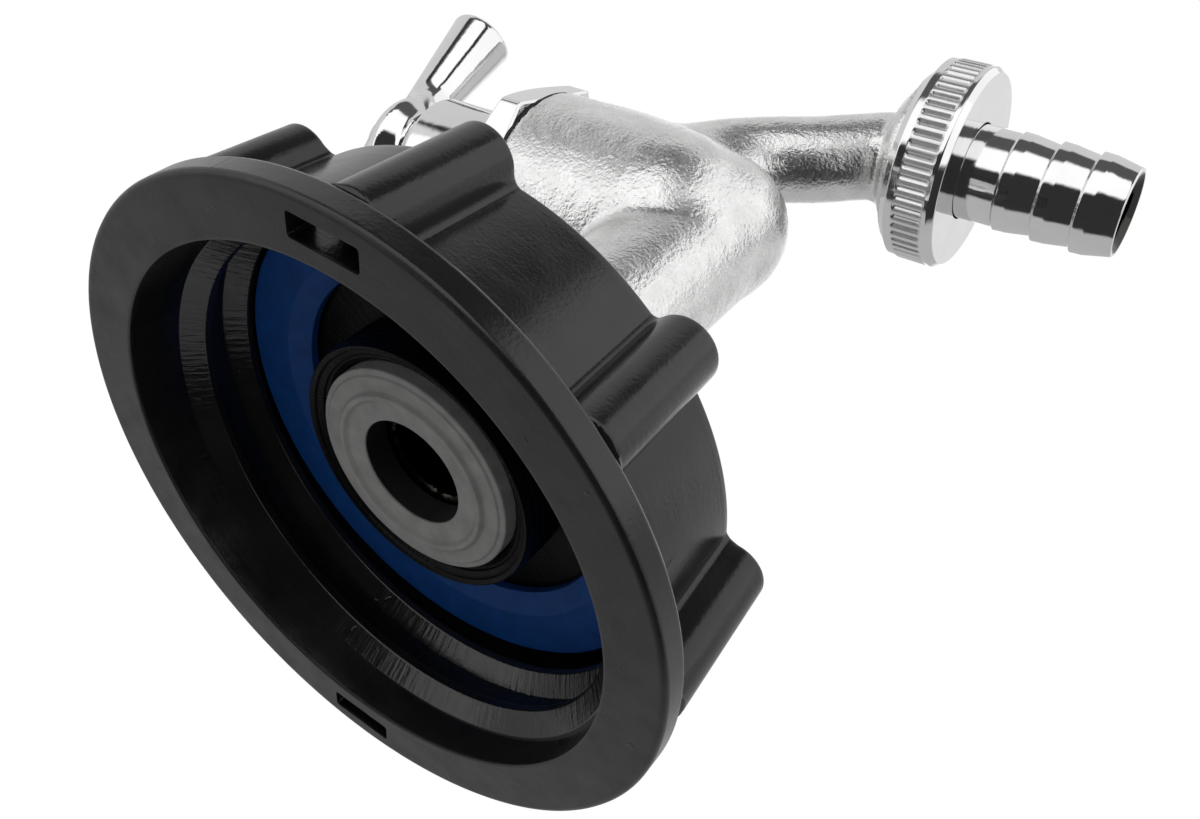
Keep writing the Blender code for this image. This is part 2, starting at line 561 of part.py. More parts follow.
def spout_path():
    """The spout's centre line in the plane of the valve: out of the barrel, down and round to the nozzle."""
    start = Vector((SPINDLE_X + SPOUT_START, SPOUT_ROOT_Z))
    join = Vector((OUTLET_X - SPOUT_JOIN_FROM_OUTLET, NOZZLE_END_Z + SPOUT_JOIN_FROM_END))
    end = Vector((OUTLET_X, NOZZLE_END_Z + SPOUT_END_INSIDE))
    leave = [start, start + Vector(SPOUT_TOP_PULL), join - Vector(SPOUT_SLOPE_PULL), join]
    arrive = [join, join + Vector(SPOUT_JOIN_PULL), end + Vector(SPOUT_END_PULL), end]
    return bezier(leave, 8) + bezier(arrive, 6)[1:]


def swept(path, radius, sides, extra_end=0.0):
    """A round tube of one radius along a path of (x, z) points, square to the path at each point."""
    points = list(path)
    if extra_end:
        points.append(Vector((points[-1].x, points[-1].y - extra_end)))
    rings = []
    for i, point in enumerate(points):
        before = points[max(i - 1, 0)]
        after = points[min(i + 1, len(points) - 1)]
        along = (after - before).normalized()
        normal = Vector((-along.y, along.x))
        ring = []
        for k in range(sides):
            a = 2.0 * pi * k / sides
            offset = normal * (radius * cos(a))
            ring.append(Vector((point.x + offset.x, radius * sin(a), point.y + offset.y)))
        rings.append(ring)
    return skin_rings(rings)


def barrel():
    """The barrel's outside, narrowing slightly to a round shoulder that sinks into the neck."""
    outline = [(BARREL_HEIGHT, 0.0), (BARREL_HEIGHT, BARREL_RADIUS - BARREL_EDGE),
               (BARREL_HEIGHT - BARREL_EDGE, BARREL_RADIUS)]
    for i in range(7):
        a = radians(90.0 * i / 6)
        outline.append((BARREL_SHOULDER_Z - BARREL_SHOULDER_DEPTH * sin(a), BARREL_WAIST_RADIUS * cos(a)))
    outline[-1] = (BARREL_SHOULDER_Z - BARREL_SHOULDER_DEPTH, 0.0)
    return turned(outline, "Z", SEGMENTS_MEDIUM, (SPINDLE_X, 0.0, 0.0))


def ball(radius, x, z):
    """A ball centred in the valve's plane, turned about the inlet's direction."""
    outline = [(radius * cos(radians(a)), radius * sin(radians(a))) for a in range(0, 181, 15)]
    outline[0] = (radius, 0.0)
    outline[-1] = (-radius, 0.0)
    return turned(outline, "X", 32, (x, 0.0, z))


def make_body():
    """The brass casting: threaded inlet, collar, neck, barrel, round nose, spout and nozzle."""
    collar_back = COLLAR_X + COLLAR_THICKNESS
    chamfer = INLET_CHAMFER
    outline = [(INLET_END_X, 0.0), (INLET_END_X, INLET_THREAD_RADIUS - chamfer),
               (INLET_END_X + chamfer, INLET_THREAD_RADIUS), (COLLAR_X, INLET_THREAD_RADIUS),
               (COLLAR_X, COLLAR_RADIUS - chamfer / 2), (COLLAR_X + chamfer / 2, COLLAR_RADIUS),
               (collar_back - chamfer, COLLAR_RADIUS), (collar_back, COLLAR_RADIUS - chamfer),
               (collar_back, NECK_RADIUS + NECK_FILLET), (collar_back + NECK_FILLET, NECK_RADIUS),
               (NOSE_X, NECK_RADIUS), (NOSE_X, 0.0)]
    body = add_piece("tap_body", turned(outline, "X", SEGMENTS_MEDIUM), "cast_nickel")
    boolean(body, "UNION", "nose", ball(NECK_RADIUS, NOSE_X, NOSE_RISE))
    boolean(body, "UNION", "barrel", barrel())
    boolean(body, "UNION", "spout", swept(spout_path(), SPOUT_RADIUS, 28))
    flare_z = NOZZLE_SHOULDER_TOP_Z + NOZZLE_FLARE_LENGTH
    nozzle = [(flare_z, 0.0), (flare_z, SPOUT_BORE + SPOUT_WALL * 0.95),
              (NOZZLE_SHOULDER_TOP_Z, NOZZLE_SHOULDER_RADIUS), (NOZZLE_THREAD_TOP_Z, NOZZLE_SHOULDER_RADIUS),
              (NOZZLE_THREAD_TOP_Z, NOZZLE_THREAD_RADIUS), (NOZZLE_END_Z + NOZZLE_EDGE, NOZZLE_THREAD_RADIUS),
              (NOZZLE_END_Z, NOZZLE_THREAD_RADIUS - NOZZLE_EDGE), (NOZZLE_END_Z, 0.0)]
    boolean(body, "UNION", "nozzle", turned(nozzle, "Z", SEGMENTS_MEDIUM, (OUTLET_X, 0.0, 0.0)))

    reach_x = LOWER_CHAMBER_X - LOWER_CHAMBER_RADIUS / 2.0
    inlet = [(INLET_END_X - PAST, 0.0), (INLET_END_X - PAST, INLET_BORE), (reach_x, INLET_BORE), (reach_x, 0.0)]
    boolean(body, "DIFFERENCE", "inlet_bore", turned(inlet, "X", SEGMENTS_SMALL))
    boolean(body, "DIFFERENCE", "lower_chamber", ball(LOWER_CHAMBER_RADIUS, LOWER_CHAMBER_X, LOWER_CHAMBER_Z))
    chamber = [(BARREL_HEIGHT + PAST, 0.0), (BARREL_HEIGHT + PAST, CHAMBER_RADIUS),
               (CHAMBER_FLOOR_Z, CHAMBER_RADIUS), (CHAMBER_FLOOR_Z, SEAT_LIP_RADIUS), (SEAT_Z, SEAT_LIP_RADIUS),
               (SEAT_Z, 0.0)]
    boolean(body, "DIFFERENCE", "upper_chamber", turned(chamber, "Z", SEGMENTS_MEDIUM, (SPINDLE_X, 0.0, 0.0)))
    seat = [(SEAT_Z + PAST, 0.0), (SEAT_Z + PAST, SEAT_HOLE_RADIUS), (LOWER_CHAMBER_Z, SEAT_HOLE_RADIUS),
            (LOWER_CHAMBER_Z, 0.0)]
    boolean(body, "DIFFERENCE", "seat_hole", turned(seat, "Z", SEGMENTS_SMALL, (SPINDLE_X, 0.0, 0.0)))
    boolean(body, "DIFFERENCE", "spout_bore", swept(spout_path(), SPOUT_BORE, 20, NOZZLE_THREAD_LENGTH))


def make_bonnet(axis):
    """The bonnet: hexagon, spigot in the barrel, threaded bore and stuffing box, with its gasket."""
    gasket = [(BONNET_GASKET_Z, BONNET_GASKET_INNER_RADIUS), (BONNET_GASKET_Z, BONNET_GASKET_OUTER_RADIUS),
              (BONNET_GASKET_Z + BONNET_GASKET_THICKNESS, BONNET_GASKET_OUTER_RADIUS),
              (BONNET_GASKET_Z + BONNET_GASKET_THICKNESS, BONNET_GASKET_INNER_RADIUS)]
    add_piece("bonnet_gasket", turned(gasket, "Z", SEGMENTS_MEDIUM), "fibre", axis)

    spigot = CHAMBER_RADIUS - TOUCH
    middle_z = (HEX_BOTTOM_Z + HEX_TOP_Z) / 2.0
    outline = [(BONNET_SPIGOT_BOTTOM_Z, THREAD_CLEAR_RADIUS), (STUFFING_BOX_UNDERSIDE_Z, THREAD_CLEAR_RADIUS),
               (STUFFING_BOX_UNDERSIDE_Z, SPINDLE_CLEAR_RADIUS), (STUFFING_BOX_FLOOR_Z, SPINDLE_CLEAR_RADIUS),
               (STUFFING_BOX_FLOOR_Z, STUFFING_BOX_RADIUS), (BONNET_TOP_Z, STUFFING_BOX_RADIUS),
               (BONNET_TOP_Z, BONNET_NECK_RADIUS), (middle_z, BONNET_NECK_RADIUS), (middle_z, spigot),
               (BONNET_SPIGOT_BOTTOM_Z, spigot)]
    bonnet = add_piece("bonnet", turned(outline, "Z", SEGMENTS_MEDIUM), "chrome", axis)
    head = prism(hexagon(HEX_ACROSS_FLATS, HEX_TURN), HEX_BOTTOM_Z, HEX_TOP_Z)
    boolean(bonnet, "UNION", "bonnet_hexagon", head)
    corner = HEX_ACROSS_FLATS / sqrt(3.0)
    low = HEX_BOTTOM_Z - PAST
    high = HEX_TOP_Z + PAST
    inner = corner - HEX_CHAMFER - PAST
    chamfer = [(low, inner), (HEX_BOTTOM_Z + HEX_CHAMFER, corner), (HEX_TOP_Z - HEX_CHAMFER, corner),
               (high, inner), (high, corner + PAST), (low, corner + PAST)]
    boolean(bonnet, "DIFFERENCE", "hexagon_chamfer", turned(chamfer, "Z", SEGMENTS_LARGE))
    high = min(HEX_TOP_Z + PAST, STUFFING_BOX_UNDERSIDE_Z)
    bore = [(low, 0.0), (low, THREAD_CLEAR_RADIUS), (high, THREAD_CLEAR_RADIUS), (high, 0.0)]
    boolean(bonnet, "DIFFERENCE", "spindle_bore", turned(bore, "Z", SEGMENTS_MEDIUM))


def make_gland(axis):
    """The round gland nut over the bonnet's neck, with two packing rings and their follower."""
    rounding = arc((GLAND_NUT_TOP_Z - GLAND_NUT_ROUND, GLAND_NUT_RADIUS - GLAND_NUT_ROUND), GLAND_NUT_ROUND,
                   90.0, 0.0, 4)
    outline = [(GLAND_NUT_BOTTOM_Z, GLAND_NUT_BORE), (GLAND_NUT_BOTTOM_Z, GLAND_NUT_RADIUS)] + rounding
    outline += [(GLAND_NUT_TOP_Z, SPINDLE_CLEAR_RADIUS), (GLAND_SHOULDER_Z, SPINDLE_CLEAR_RADIUS),
                (GLAND_SHOULDER_Z, GLAND_NUT_BORE)]
    add_piece("gland_nut", turned(outline, "Z", SEGMENTS_MEDIUM), "chrome", axis)

    outer = STUFFING_BOX_RADIUS - TOUCH
    for name, low in (("packing_ring_lower", LOWER_PACKING_Z), ("packing_ring_upper", UPPER_PACKING_Z)):
        high = low + PACKING_RING_THICKNESS
        ring = [(low, SPINDLE_CLEAR_RADIUS), (high, SPINDLE_CLEAR_RADIUS), (high, outer), (low, outer)]
        add_piece(name, turned(ring, "Z", SEGMENTS_SMALL), "graphite_packing", axis)

    rim_radius = BONNET_NECK_RADIUS - TOUCH
    outline = [(FOLLOWER_Z, SPINDLE_CLEAR_RADIUS), (FOLLOWER_TOP_Z, SPINDLE_CLEAR_RADIUS),
               (FOLLOWER_TOP_Z, rim_radius), (FOLLOWER_RIM_Z, rim_radius), (FOLLOWER_RIM_Z, outer),
               (FOLLOWER_Z, outer)]
    add_piece("gland_follower", turned(outline, "Z", SEGMENTS_SMALL), "brass", axis)


def make_spindle(axis):
    """The spindle: threaded foot with a socket for the disc's stem, plain shaft and square top."""
    square_z = HUB_BOTTOM_Z + TOUCH
    outline = [(SPINDLE_Z, SPINDLE_SOCKET_RADIUS), (SPINDLE_Z, SPINDLE_THREAD_RADIUS),
               (SPINDLE_SHOULDER_Z, SPINDLE_THREAD_RADIUS), (SPINDLE_SHOULDER_Z + SPINDLE_TAPER, SPINDLE_RADIUS),
               (square_z, SPINDLE_RADIUS), (square_z, 0.0)]
    socket_top = DISC_TOP_Z + DISC_STEM_LENGTH + SOCKET_SPARE
    outline = [(socket_top, 0.0), (socket_top, SPINDLE_SOCKET_RADIUS)] + outline
    spindle = add_piece("spindle", turned(outline, "Z", SEGMENTS_SMALL), "brass", axis)
    half = SQUARE_ACROSS_FLATS / 2.0
    square = [(-half, -half), (half, -half), (half, half), (-half, half)]
    boolean(spindle, "UNION", "spindle_square", prism(square, square_z - PAST, SPINDLE_TOP_Z))
    hole = SCREW_RADIUS + TOUCH
    low = SCREW_SEAT_Z - SCREW_LENGTH - TOUCH
    high = SPINDLE_TOP_Z + PAST
    bore = [(high, 0.0), (high, hole), (low, hole), (low, 0.0)]
    boolean(spindle, "DIFFERENCE", "screw_bore", turned(bore, "Z", SEGMENTS_SMALL))


def make_valve_disc(axis):
    """The disc that closes the seat, with its rubber washer and the small nut under it."""
    stud_z = WASHER_NUT_Z - DISC_STUD_SPARE
    stem_z = DISC_TOP_Z + DISC_STEM_LENGTH
    outline = [(stud_z, 0.0), (stud_z, DISC_STUD_RADIUS), (DISC_Z, DISC_STUD_RADIUS), (DISC_Z, DISC_RADIUS),
               (DISC_TOP_Z - DISC_EDGE, DISC_RADIUS), (DISC_TOP_Z, DISC_RADIUS - DISC_EDGE),
               (DISC_TOP_Z, DISC_STEM_RADIUS), (stem_z, DISC_STEM_RADIUS), (stem_z, 0.0)]
    add_piece("valve_disc", turned(outline, "Z", SEGMENTS_SMALL), "brass", axis)

    hole = DISC_STUD_RADIUS + TOUCH
    washer_top = WASHER_Z + WASHER_THICKNESS
    outline = [(WASHER_Z, hole), (washer_top, hole), (washer_top, WASHER_RADIUS), (WASHER_Z, WASHER_RADIUS)]
    add_piece("valve_washer", turned(outline, "Z", SEGMENTS_SMALL), "black_rubber", axis)

    nut_top = WASHER_NUT_Z + WASHER_NUT_THICKNESS
    nut = add_piece("washer_nut", prism(hexagon(WASHER_NUT_ACROSS_FLATS), WASHER_NUT_Z, nut_top), "brass", axis)
    low = WASHER_NUT_Z - PAST
    bore = [(nut_top + PAST, 0.0), (nut_top + PAST, hole), (low, hole), (low, 0.0)]
    boolean(nut, "DIFFERENCE", "stud_bore", turned(bore, "Z", SEGMENTS_SMALL))


def handle_arm(turn):
    """One arm: a cone that widens from the hub to a slightly domed end, laid on its side."""
    dome = ARM_REACH - ARM_DOME
    outline = [(0.0, 0.0), (0.0, ARM_ROOT_RADIUS), (HUB_RADIUS - PAST, ARM_ROOT_RADIUS)]
    for a in (0.0, 22.5, 45.0, 67.5):
        outline.append((dome + ARM_DOME * sin(radians(a)), ARM_END_RADIUS * cos(radians(a))))
    outline.append((ARM_REACH, 0.0))
    bm = turned(outline, "X", SEGMENTS_SMALL)
    bmesh.ops.transform(bm, matrix=Matrix.Rotation(radians(turn), 4, "Z"), verts=bm.verts)
    bmesh.ops.translate(bm, verts=bm.verts, vec=(0.0, 0.0, HANDLE_AXIS_Z))
    return bm


def make_handle(axis):
    """The T-handle: a domed hub on the spindle's square with two arms, held by a slotted screw."""
    shoulder = HANDLE_AXIS_Z + HUB_BAND / 2.0
    skirt_z = HUB_BOTTOM_Z + HUB_SKIRT_HEIGHT
    dome = [(shoulder + (HUB_TOP_Z - shoulder) * sin(radians(a)), HUB_RADIUS * cos(radians(a)))
            for a in (0, 20, 40, 58)]
    outline = [(HUB_BOTTOM_Z, 0.0), (HUB_BOTTOM_Z, HUB_SKIRT_RADIUS), (skirt_z, HUB_SKIRT_RADIUS),
               (HANDLE_AXIS_Z - HUB_BAND / 2.0, HUB_RADIUS)] + dome
    outline += [(HUB_TOP_Z, SCREW_HEAD_RADIUS + 2.0 * TOUCH), (HUB_TOP_Z, 0.0)]
    handle = add_piece("t_handle", turned(outline, "Z", 32), "chrome", axis)
    arms = handle_arm(HANDLE_TURN)
    boolean(handle, "UNION", "front_arm", arms)
    boolean(handle, "UNION", "back_arm", handle_arm(HANDLE_TURN + 180.0))
    half = SQUARE_ACROSS_FLATS / 2.0 + TOUCH
    square = [(-half, -half), (half, -half), (half, half), (-half, half)]
    socket_z = HUB_BOTTOM_Z + HUB_SOCKET_START
    boolean(handle, "DIFFERENCE", "square_socket", prism(square, socket_z, SPINDLE_TOP_Z + TOUCH))
    low = HUB_BOTTOM_Z - PAST
    high = socket_z + TOUCH / 3.0
    skirt = [(low, 0.0), (low, SPINDLE_CLEAR_RADIUS), (high, SPINDLE_CLEAR_RADIUS), (high, 0.0)]
    boolean(handle, "DIFFERENCE", "skirt_bore", turned(skirt, "Z", SEGMENTS_SMALL))
    head = SCREW_HEAD_RADIUS + TOUCH
    shank = SCREW_RADIUS + TOUCH
    bore = [(HUB_TOP_Z + PAST, 0.0), (HUB_TOP_Z + PAST, head), (SCREW_SEAT_Z, head), (SCREW_SEAT_Z, shank),
            (SPINDLE_TOP_Z - PAST, shank), (SPINDLE_TOP_Z - PAST, 0.0)]
    boolean(handle, "DIFFERENCE", "screw_seat", turned(bore, "Z", SEGMENTS_SMALL))

    low = SCREW_SEAT_Z + TOUCH
    top = low + SCREW_HEAD_THICKNESS
    outline = [(top, 0.0), (top, SCREW_HEAD_RADIUS - SCREW_HEAD_EDGE), (top - SCREW_HEAD_EDGE, SCREW_HEAD_RADIUS),
               (low, SCREW_HEAD_RADIUS), (low, SCREW_RADIUS), (SCREW_SEAT_Z - SCREW_LENGTH, SCREW_RADIUS),
               (SCREW_SEAT_Z - SCREW_LENGTH, 0.0)]
    screw = add_piece("handle_screw", turned(outline, "Z", SEGMENTS_SMALL), "chrome", axis)
    width = SCREW_SLOT_WIDTH / 2.0
    reach = SCREW_HEAD_RADIUS + PAST
    slot = [(-reach, -width), (reach, -width), (reach, width), (-reach, width)]
    boolean(screw, "DIFFERENCE", "screw_slot", prism(slot, top - SCREW_SLOT_DEPTH, top + PAST))


def make_union_nut(axis):
    """The union nut: a chamfered ring with a lip under the tail's flange and straight knurls."""
    outline = [(NUT_TOP_Z, NUT_BORE), (NUT_TOP_Z, NUT_RADIUS - NUT_CHAMFER / 2),
               (NUT_TOP_Z - NUT_CHAMFER / 2, NUT_RADIUS), (KNURL_TOP_Z, NUT_RADIUS),
               (KNURL_TOP_Z - KNURL_DEPTH, NUT_RADIUS - KNURL_DEPTH),
               (KNURL_BOTTOM_Z + KNURL_DEPTH, NUT_RADIUS - KNURL_DEPTH), (KNURL_BOTTOM_Z, NUT_RADIUS),
               (NUT_BOTTOM_Z + NUT_CHAMFER, NUT_RADIUS), (NUT_BOTTOM_Z, NUT_RADIUS - NUT_CHAMFER),
               (NUT_BOTTOM_Z, NUT_HOLE_RADIUS), (NUT_LIP_Z, NUT_HOLE_RADIUS), (NUT_LIP_Z, NUT_BORE)]
    bm = turned(outline, "Z", 2 * KNURL_COUNT)
    floor = NUT_RADIUS - KNURL_DEPTH
    for vert in bm.verts:
        radius = sqrt(vert.co.x ** 2 + vert.co.y ** 2)
        step = round(KNURL_COUNT * (Vector((vert.co.x, vert.co.y)).angle_signed(Vector((1.0, 0.0)))) / pi)
        if abs(radius - floor) < KNURL_DEPTH / 4.0 and KNURL_BOTTOM_Z < vert.co.z < KNURL_TOP_Z and step % 2 == 0:
            vert.co.x *= NUT_RADIUS / radius
            vert.co.y *= NUT_RADIUS / radius
    add_piece("union_nut", bm, "chrome", axis)


def make_hose_tail(axis):
    """The hose tail: a flange inside the nut, a plain collar and three barbs, with its gasket."""
    gasket = [(TAIL_GASKET_LOW_Z, TAIL_BORE), (TAIL_GASKET_LOW_Z, TAIL_FLANGE_RADIUS),
              (TAIL_GASKET_Z, TAIL_FLANGE_RADIUS), (TAIL_GASKET_Z, TAIL_BORE)]
    add_piece("tail_gasket", turned(gasket, "Z", SEGMENTS_MEDIUM), "black_rubber", axis)

    outline = [(TAIL_FLANGE_Z, TAIL_BORE), (TAIL_FLANGE_Z, TAIL_FLANGE_RADIUS),
               (TAIL_FLANGE_BACK_Z, TAIL_FLANGE_RADIUS), (TAIL_FLANGE_BACK_Z, TAIL_COLLAR_RADIUS),
               (TAIL_FIRST_BARB_Z + TAIL_BARB_STEP, TAIL_COLLAR_RADIUS)]
    pitch = (TAIL_FIRST_BARB_Z - TAIL_END_Z) / TAIL_BARB_COUNT
    for i in range(TAIL_BARB_COUNT):
        top = TAIL_FIRST_BARB_Z - pitch * i
        outline.append((top, TAIL_BARB_RADIUS))
        outline.append((top - 0.3 * pitch, TAIL_BARB_RADIUS - TAIL_BARB_STEP / 3.0))
        if i < TAIL_BARB_COUNT - 1:
            outline.append((top - pitch + TAIL_BARB_STEP, TAIL_VALLEY_RADIUS))
    rounding = TAIL_END_ROUND
    outline += [(TAIL_END_Z + rounding, TAIL_END_RADIUS),
                (TAIL_END_Z + 0.3 * rounding, TAIL_END_RADIUS - 0.3 * rounding),
                (TAIL_END_Z, TAIL_END_RADIUS - rounding), (TAIL_END_Z, TAIL_BORE)]
    add_piece("hose_tail", turned(outline, "Z", SEGMENTS_MEDIUM), "chrome", axis)


def build():
    clear_scene()
    inlet_axis = axis_empty("inlet_axis", 0.0)
    spindle_axis = axis_empty("spindle_axis", SPINDLE_X)
    outlet_axis = axis_empty("outlet_axis", OUTLET_X)
    make_cap(inlet_axis)
    make_bush(inlet_axis)
    make_inlet_seals(inlet_axis)
    make_body()
    make_bonnet(spindle_axis)
    make_gland(spindle_axis)
    make_spindle(spindle_axis)
    make_valve_disc(spindle_axis)
    make_handle(spindle_axis)
    make_union_nut(outlet_axis)
    make_hose_tail(outlet_axis)


build()
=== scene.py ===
"""Visible surfaces of an IBC tank valve: screw cap with seals, cast tap, T-handle, union nut and hose tail.

The cap's axis is X, with its mouth at 0 and the tap towards +X. The spindle's axis is Z.
Profiles are written in millimetres as (along the axis, radius, corner rounding)."""

import bmesh
import bpy
import numpy as np
from bpy.props import FloatProperty, FloatVectorProperty, IntProperty, PointerProperty
from mathutils import Matrix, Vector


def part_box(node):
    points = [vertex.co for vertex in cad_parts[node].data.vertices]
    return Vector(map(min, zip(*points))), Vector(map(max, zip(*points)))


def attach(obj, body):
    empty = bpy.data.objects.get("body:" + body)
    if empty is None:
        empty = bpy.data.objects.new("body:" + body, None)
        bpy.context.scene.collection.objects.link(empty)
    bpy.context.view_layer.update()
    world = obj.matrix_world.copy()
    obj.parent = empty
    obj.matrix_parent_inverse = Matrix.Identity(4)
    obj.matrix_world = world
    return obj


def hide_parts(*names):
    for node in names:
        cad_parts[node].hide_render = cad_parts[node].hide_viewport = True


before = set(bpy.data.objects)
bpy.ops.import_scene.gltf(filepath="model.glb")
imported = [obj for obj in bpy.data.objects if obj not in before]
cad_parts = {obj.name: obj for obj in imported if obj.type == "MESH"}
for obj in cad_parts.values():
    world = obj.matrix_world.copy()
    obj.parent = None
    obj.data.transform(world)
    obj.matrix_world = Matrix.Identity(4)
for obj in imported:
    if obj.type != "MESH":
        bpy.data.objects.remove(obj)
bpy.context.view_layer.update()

bl_info = {
    "name": "IBC Tank Valve",
    "version": (1, 0, 0),
    "blender": (4, 5, 0),
    "location": "View3D > Sidebar > Valve",
    "description": "Builds the visible surfaces of a screw cap with a bent tap on it",
    "category": "Add Mesh",
}

MM = 0.001
TAU = 2.0 * np.pi


def box_mm(node):
    """The lowest and highest corner of a CAD node's box in millimetres."""
    return np.array([list(corner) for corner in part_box(node)]) / MM


# Sizes that come from the CAD nodes, in millimetres
CAP_DEPTH = box_mm("cap_nut")[1, 0]
BARREL_TOP = box_mm("tap_body")[1, 2]
SPINDLE_X = box_mm("gland_nut")[:, 0].mean()
OUTLET_X = box_mm("hose_tail")[:, 0].mean()
TAIL_END = box_mm("hose_tail")[0, 2]
NUT_RADIUS = np.ptp(box_mm("union_nut")[:, 0]) / 2.0
NUT_BOTTOM, NUT_TOP = box_mm("union_nut")[:, 2]

# The cap's own sizes
FLANGE_BACK = 3.2
FLANGE_RADIUS = 37.5
WALL_FOOT_RADIUS = 32.7
WALL_TAPER = 1.2
RIB_BASE_RADIUS = 32.1
CAP_BORE_RADIUS = 30.3
THREAD_TURNS = 2.0

# The casting's and the outlet's own sizes
NECK_RADIUS = 10.1
BARREL_RADIUS = 14.4
BARREL_MIDDLE = 5.0
BALL_X = 70.6
SPOUT_RADIUS = 6.4
BORE_RADIUS = 4.6
HANDLE_HEIGHT = 53.0
KNURL_TOP, KNURL_END = -17.7, -22.3
TAIL_BORE_RADIUS = 4.9

# The camera's place, its directions and its lens
EYE = np.array([-52.57, -81.22, -68.41])
RIGHTWARD = np.array([0.5722, 0.0105, -0.8201])
UPWARD = np.array([0.5207, -0.7772, 0.3533])
BACKWARD = np.array([-0.6337, -0.6291, -0.4502])
FOCAL_PIXELS = 1165.0
PHOTO_WIDTH = 1200.0
SENSOR_WIDTH = 36.0
VALVE_MIDDLE = (0.05, 0.0, 0.0)

# What mirrors see, as sheets of (strength, lowest and highest angle, softness in degrees, leftmost and
# rightmost lean, softness)
SHEETS = (
    (1.30, 17.0, 57.0, 8.0, -1.0, 0.28, 0.05),
    (1.25, -25.0, 42.0, 8.0, 0.49, 1.0, 0.06),
    (1.15, 42.0, 140.0, 8.0, 0.68, 1.0, 0.08),
    (1.15, -40.0, 60.0, 10.0, -1.0, -0.86, 0.06),
    (0.80, 50.0, 100.0, 10.0, -1.0, -0.62, 0.10),
    (0.72, 98.0, 150.0, 7.0, -1.0, 1.0, 0.05),
    (0.72, 82.0, 150.0, 5.0, -1.0, -0.25, 0.2),
    (1.25, 148.0, 190.0, 5.0, 0.05, 0.48, 0.12),
    (0.55, 148.0, 190.0, 5.0, -1.0, 0.05, 0.12),
    (1.10, -190.0, -172.0, 12.0, 0.1, 0.48, 0.12),
    (0.84, 148.0, 190.0, 5.0, 0.4, 1.0, 0.1),
    (0.84, -190.0, -165.0, 12.0, 0.4, 1.0, 0.1),
    (0.50, -180.0, -86.0, 8.0, -1.0, 1.0, 0.05),
    (0.60, -150.0, -30.0, 15.0, 0.72, 1.0, 0.1),
    (0.07, 54.0, 98.0, 8.0, -0.3, 1.0, 0.2),
)
ROOM_LEVEL = 0.035


# Meshes from arrays

def rounded(corners, steps=4, rim=0.15):
    """The points of a closed outline with rounded corners.

    Each corner (u, v, rounding) becomes an arc that touches both sides at rounding / tan(half angle) from
    the corner. Its points turn about the arc's centre in equal shares, and one more point lies a little
    further along each side, which keeps the shading of the sides flat."""
    corners = np.array(corners, float)
    at = corners[..., :2]
    back = np.roll(at, 1, -2) - at
    ahead = np.roll(at, -1, -2) - at
    back_length = np.linalg.norm(back, axis=-1, keepdims=True)
    ahead_length = np.linalg.norm(ahead, axis=-1, keepdims=True)
    back = back / back_length
    ahead = ahead / ahead_length
    half = np.arccos(np.clip((back * ahead).sum(-1, keepdims=True), -1.0, 1.0)) / 2.0
    half = np.clip(half, 0.01, np.pi / 2.0 - 0.001)
    reach = np.minimum(corners[..., 2:] / np.tan(half), 0.48 * np.minimum(back_length, ahead_length))
    radius = reach * np.tan(half)
    middle = back + ahead
    middle = middle / np.maximum(np.linalg.norm(middle, axis=-1, keepdims=True), 1e-9)
    centre = at + middle * radius / np.sin(half)
    first = at + back * reach - centre
    last = at + ahead * reach - centre
    bend = np.pi - 2.0 * half
    parts = [at + back * (reach + np.minimum(rim, 0.5 * (0.5 * back_length - reach)))]
    for share in np.linspace(0.0, 1.0, steps + 1):
        turn = np.sin((1.0 - share) * bend) * first + np.sin(share * bend) * last
        parts.append(centre + turn / np.sin(bend))
    parts.append(at + ahead * (reach + np.minimum(rim, 0.5 * (0.5 * ahead_length - reach))))
    points = np.stack(parts, -2)
    return points.reshape(points.shape[:-3] + (-1, 2))


def turned(profile, axis, centre=(0.0, 0.0, 0.0), columns=160):
    """A profile of (along, radius) turned about the X or Z axis: the angle t places a point at
    radius * (cos t, sin t) in the plane across the axis."""
    t = np.arange(columns) * TAU / columns
    along = np.repeat(profile[:, :1], columns, 1)
    one = profile[:, 1:] * np.cos(t)
    two = profile[:, 1:] * np.sin(t)
    grid = [along, one, two] if axis == "X" else [one, two, along]
    return np.stack(grid, -1) + np.array(centre)


def grid_faces(rows, columns, wrap_rows=True, wrap_columns=True):
    """Quads that join each point of a grid to the next row and column, and the last ones to the first."""
    index = np.arange(rows * columns).reshape(rows, columns)
    down = np.roll(index, -1, 0)
    right = np.roll(index, -1, 1)
    both = np.roll(down, -1, 1)
    quads = np.stack([index, right, both, down], -1)
    quads = quads if wrap_rows else quads[:-1]
    quads = quads if wrap_columns else quads[:, :-1]
    return quads.reshape(-1, 4)


def make_mesh(name, shells):
    """One mesh from shells of (points in millimetres, quads), each turned so that it encloses a
    positive volume, with the doubles at its poles merged."""
    points, quads, start = [], [], 0
    for co, faces in shells:
        co = co.reshape(-1, 3) * MM
        a, b, c, d = (co[faces[:, i]] for i in range(4))
        volume = (np.cross(b, c) * a).sum() + (np.cross(c, d) * a).sum()
        quads.append((faces if volume > 0.0 else faces[:, ::-1]) + start)
        points.append(co)
        start += len(co)
    mesh = bpy.data.meshes.new(name)
    mesh.from_pydata(np.concatenate(points).tolist(), [], np.concatenate(quads).tolist())
    bm = bmesh.new()
    bm.from_mesh(mesh)
    bmesh.ops.remove_doubles(bm, verts=bm.verts, dist=1e-7)
    bm.to_mesh(mesh)
    bm.free()
    return mesh


def grid_mesh(name, grid):
    """One closed mesh from a grid of points whose rows and columns both join up."""
    return make_mesh(name, [(grid, grid_faces(*grid.shape[:2]))])


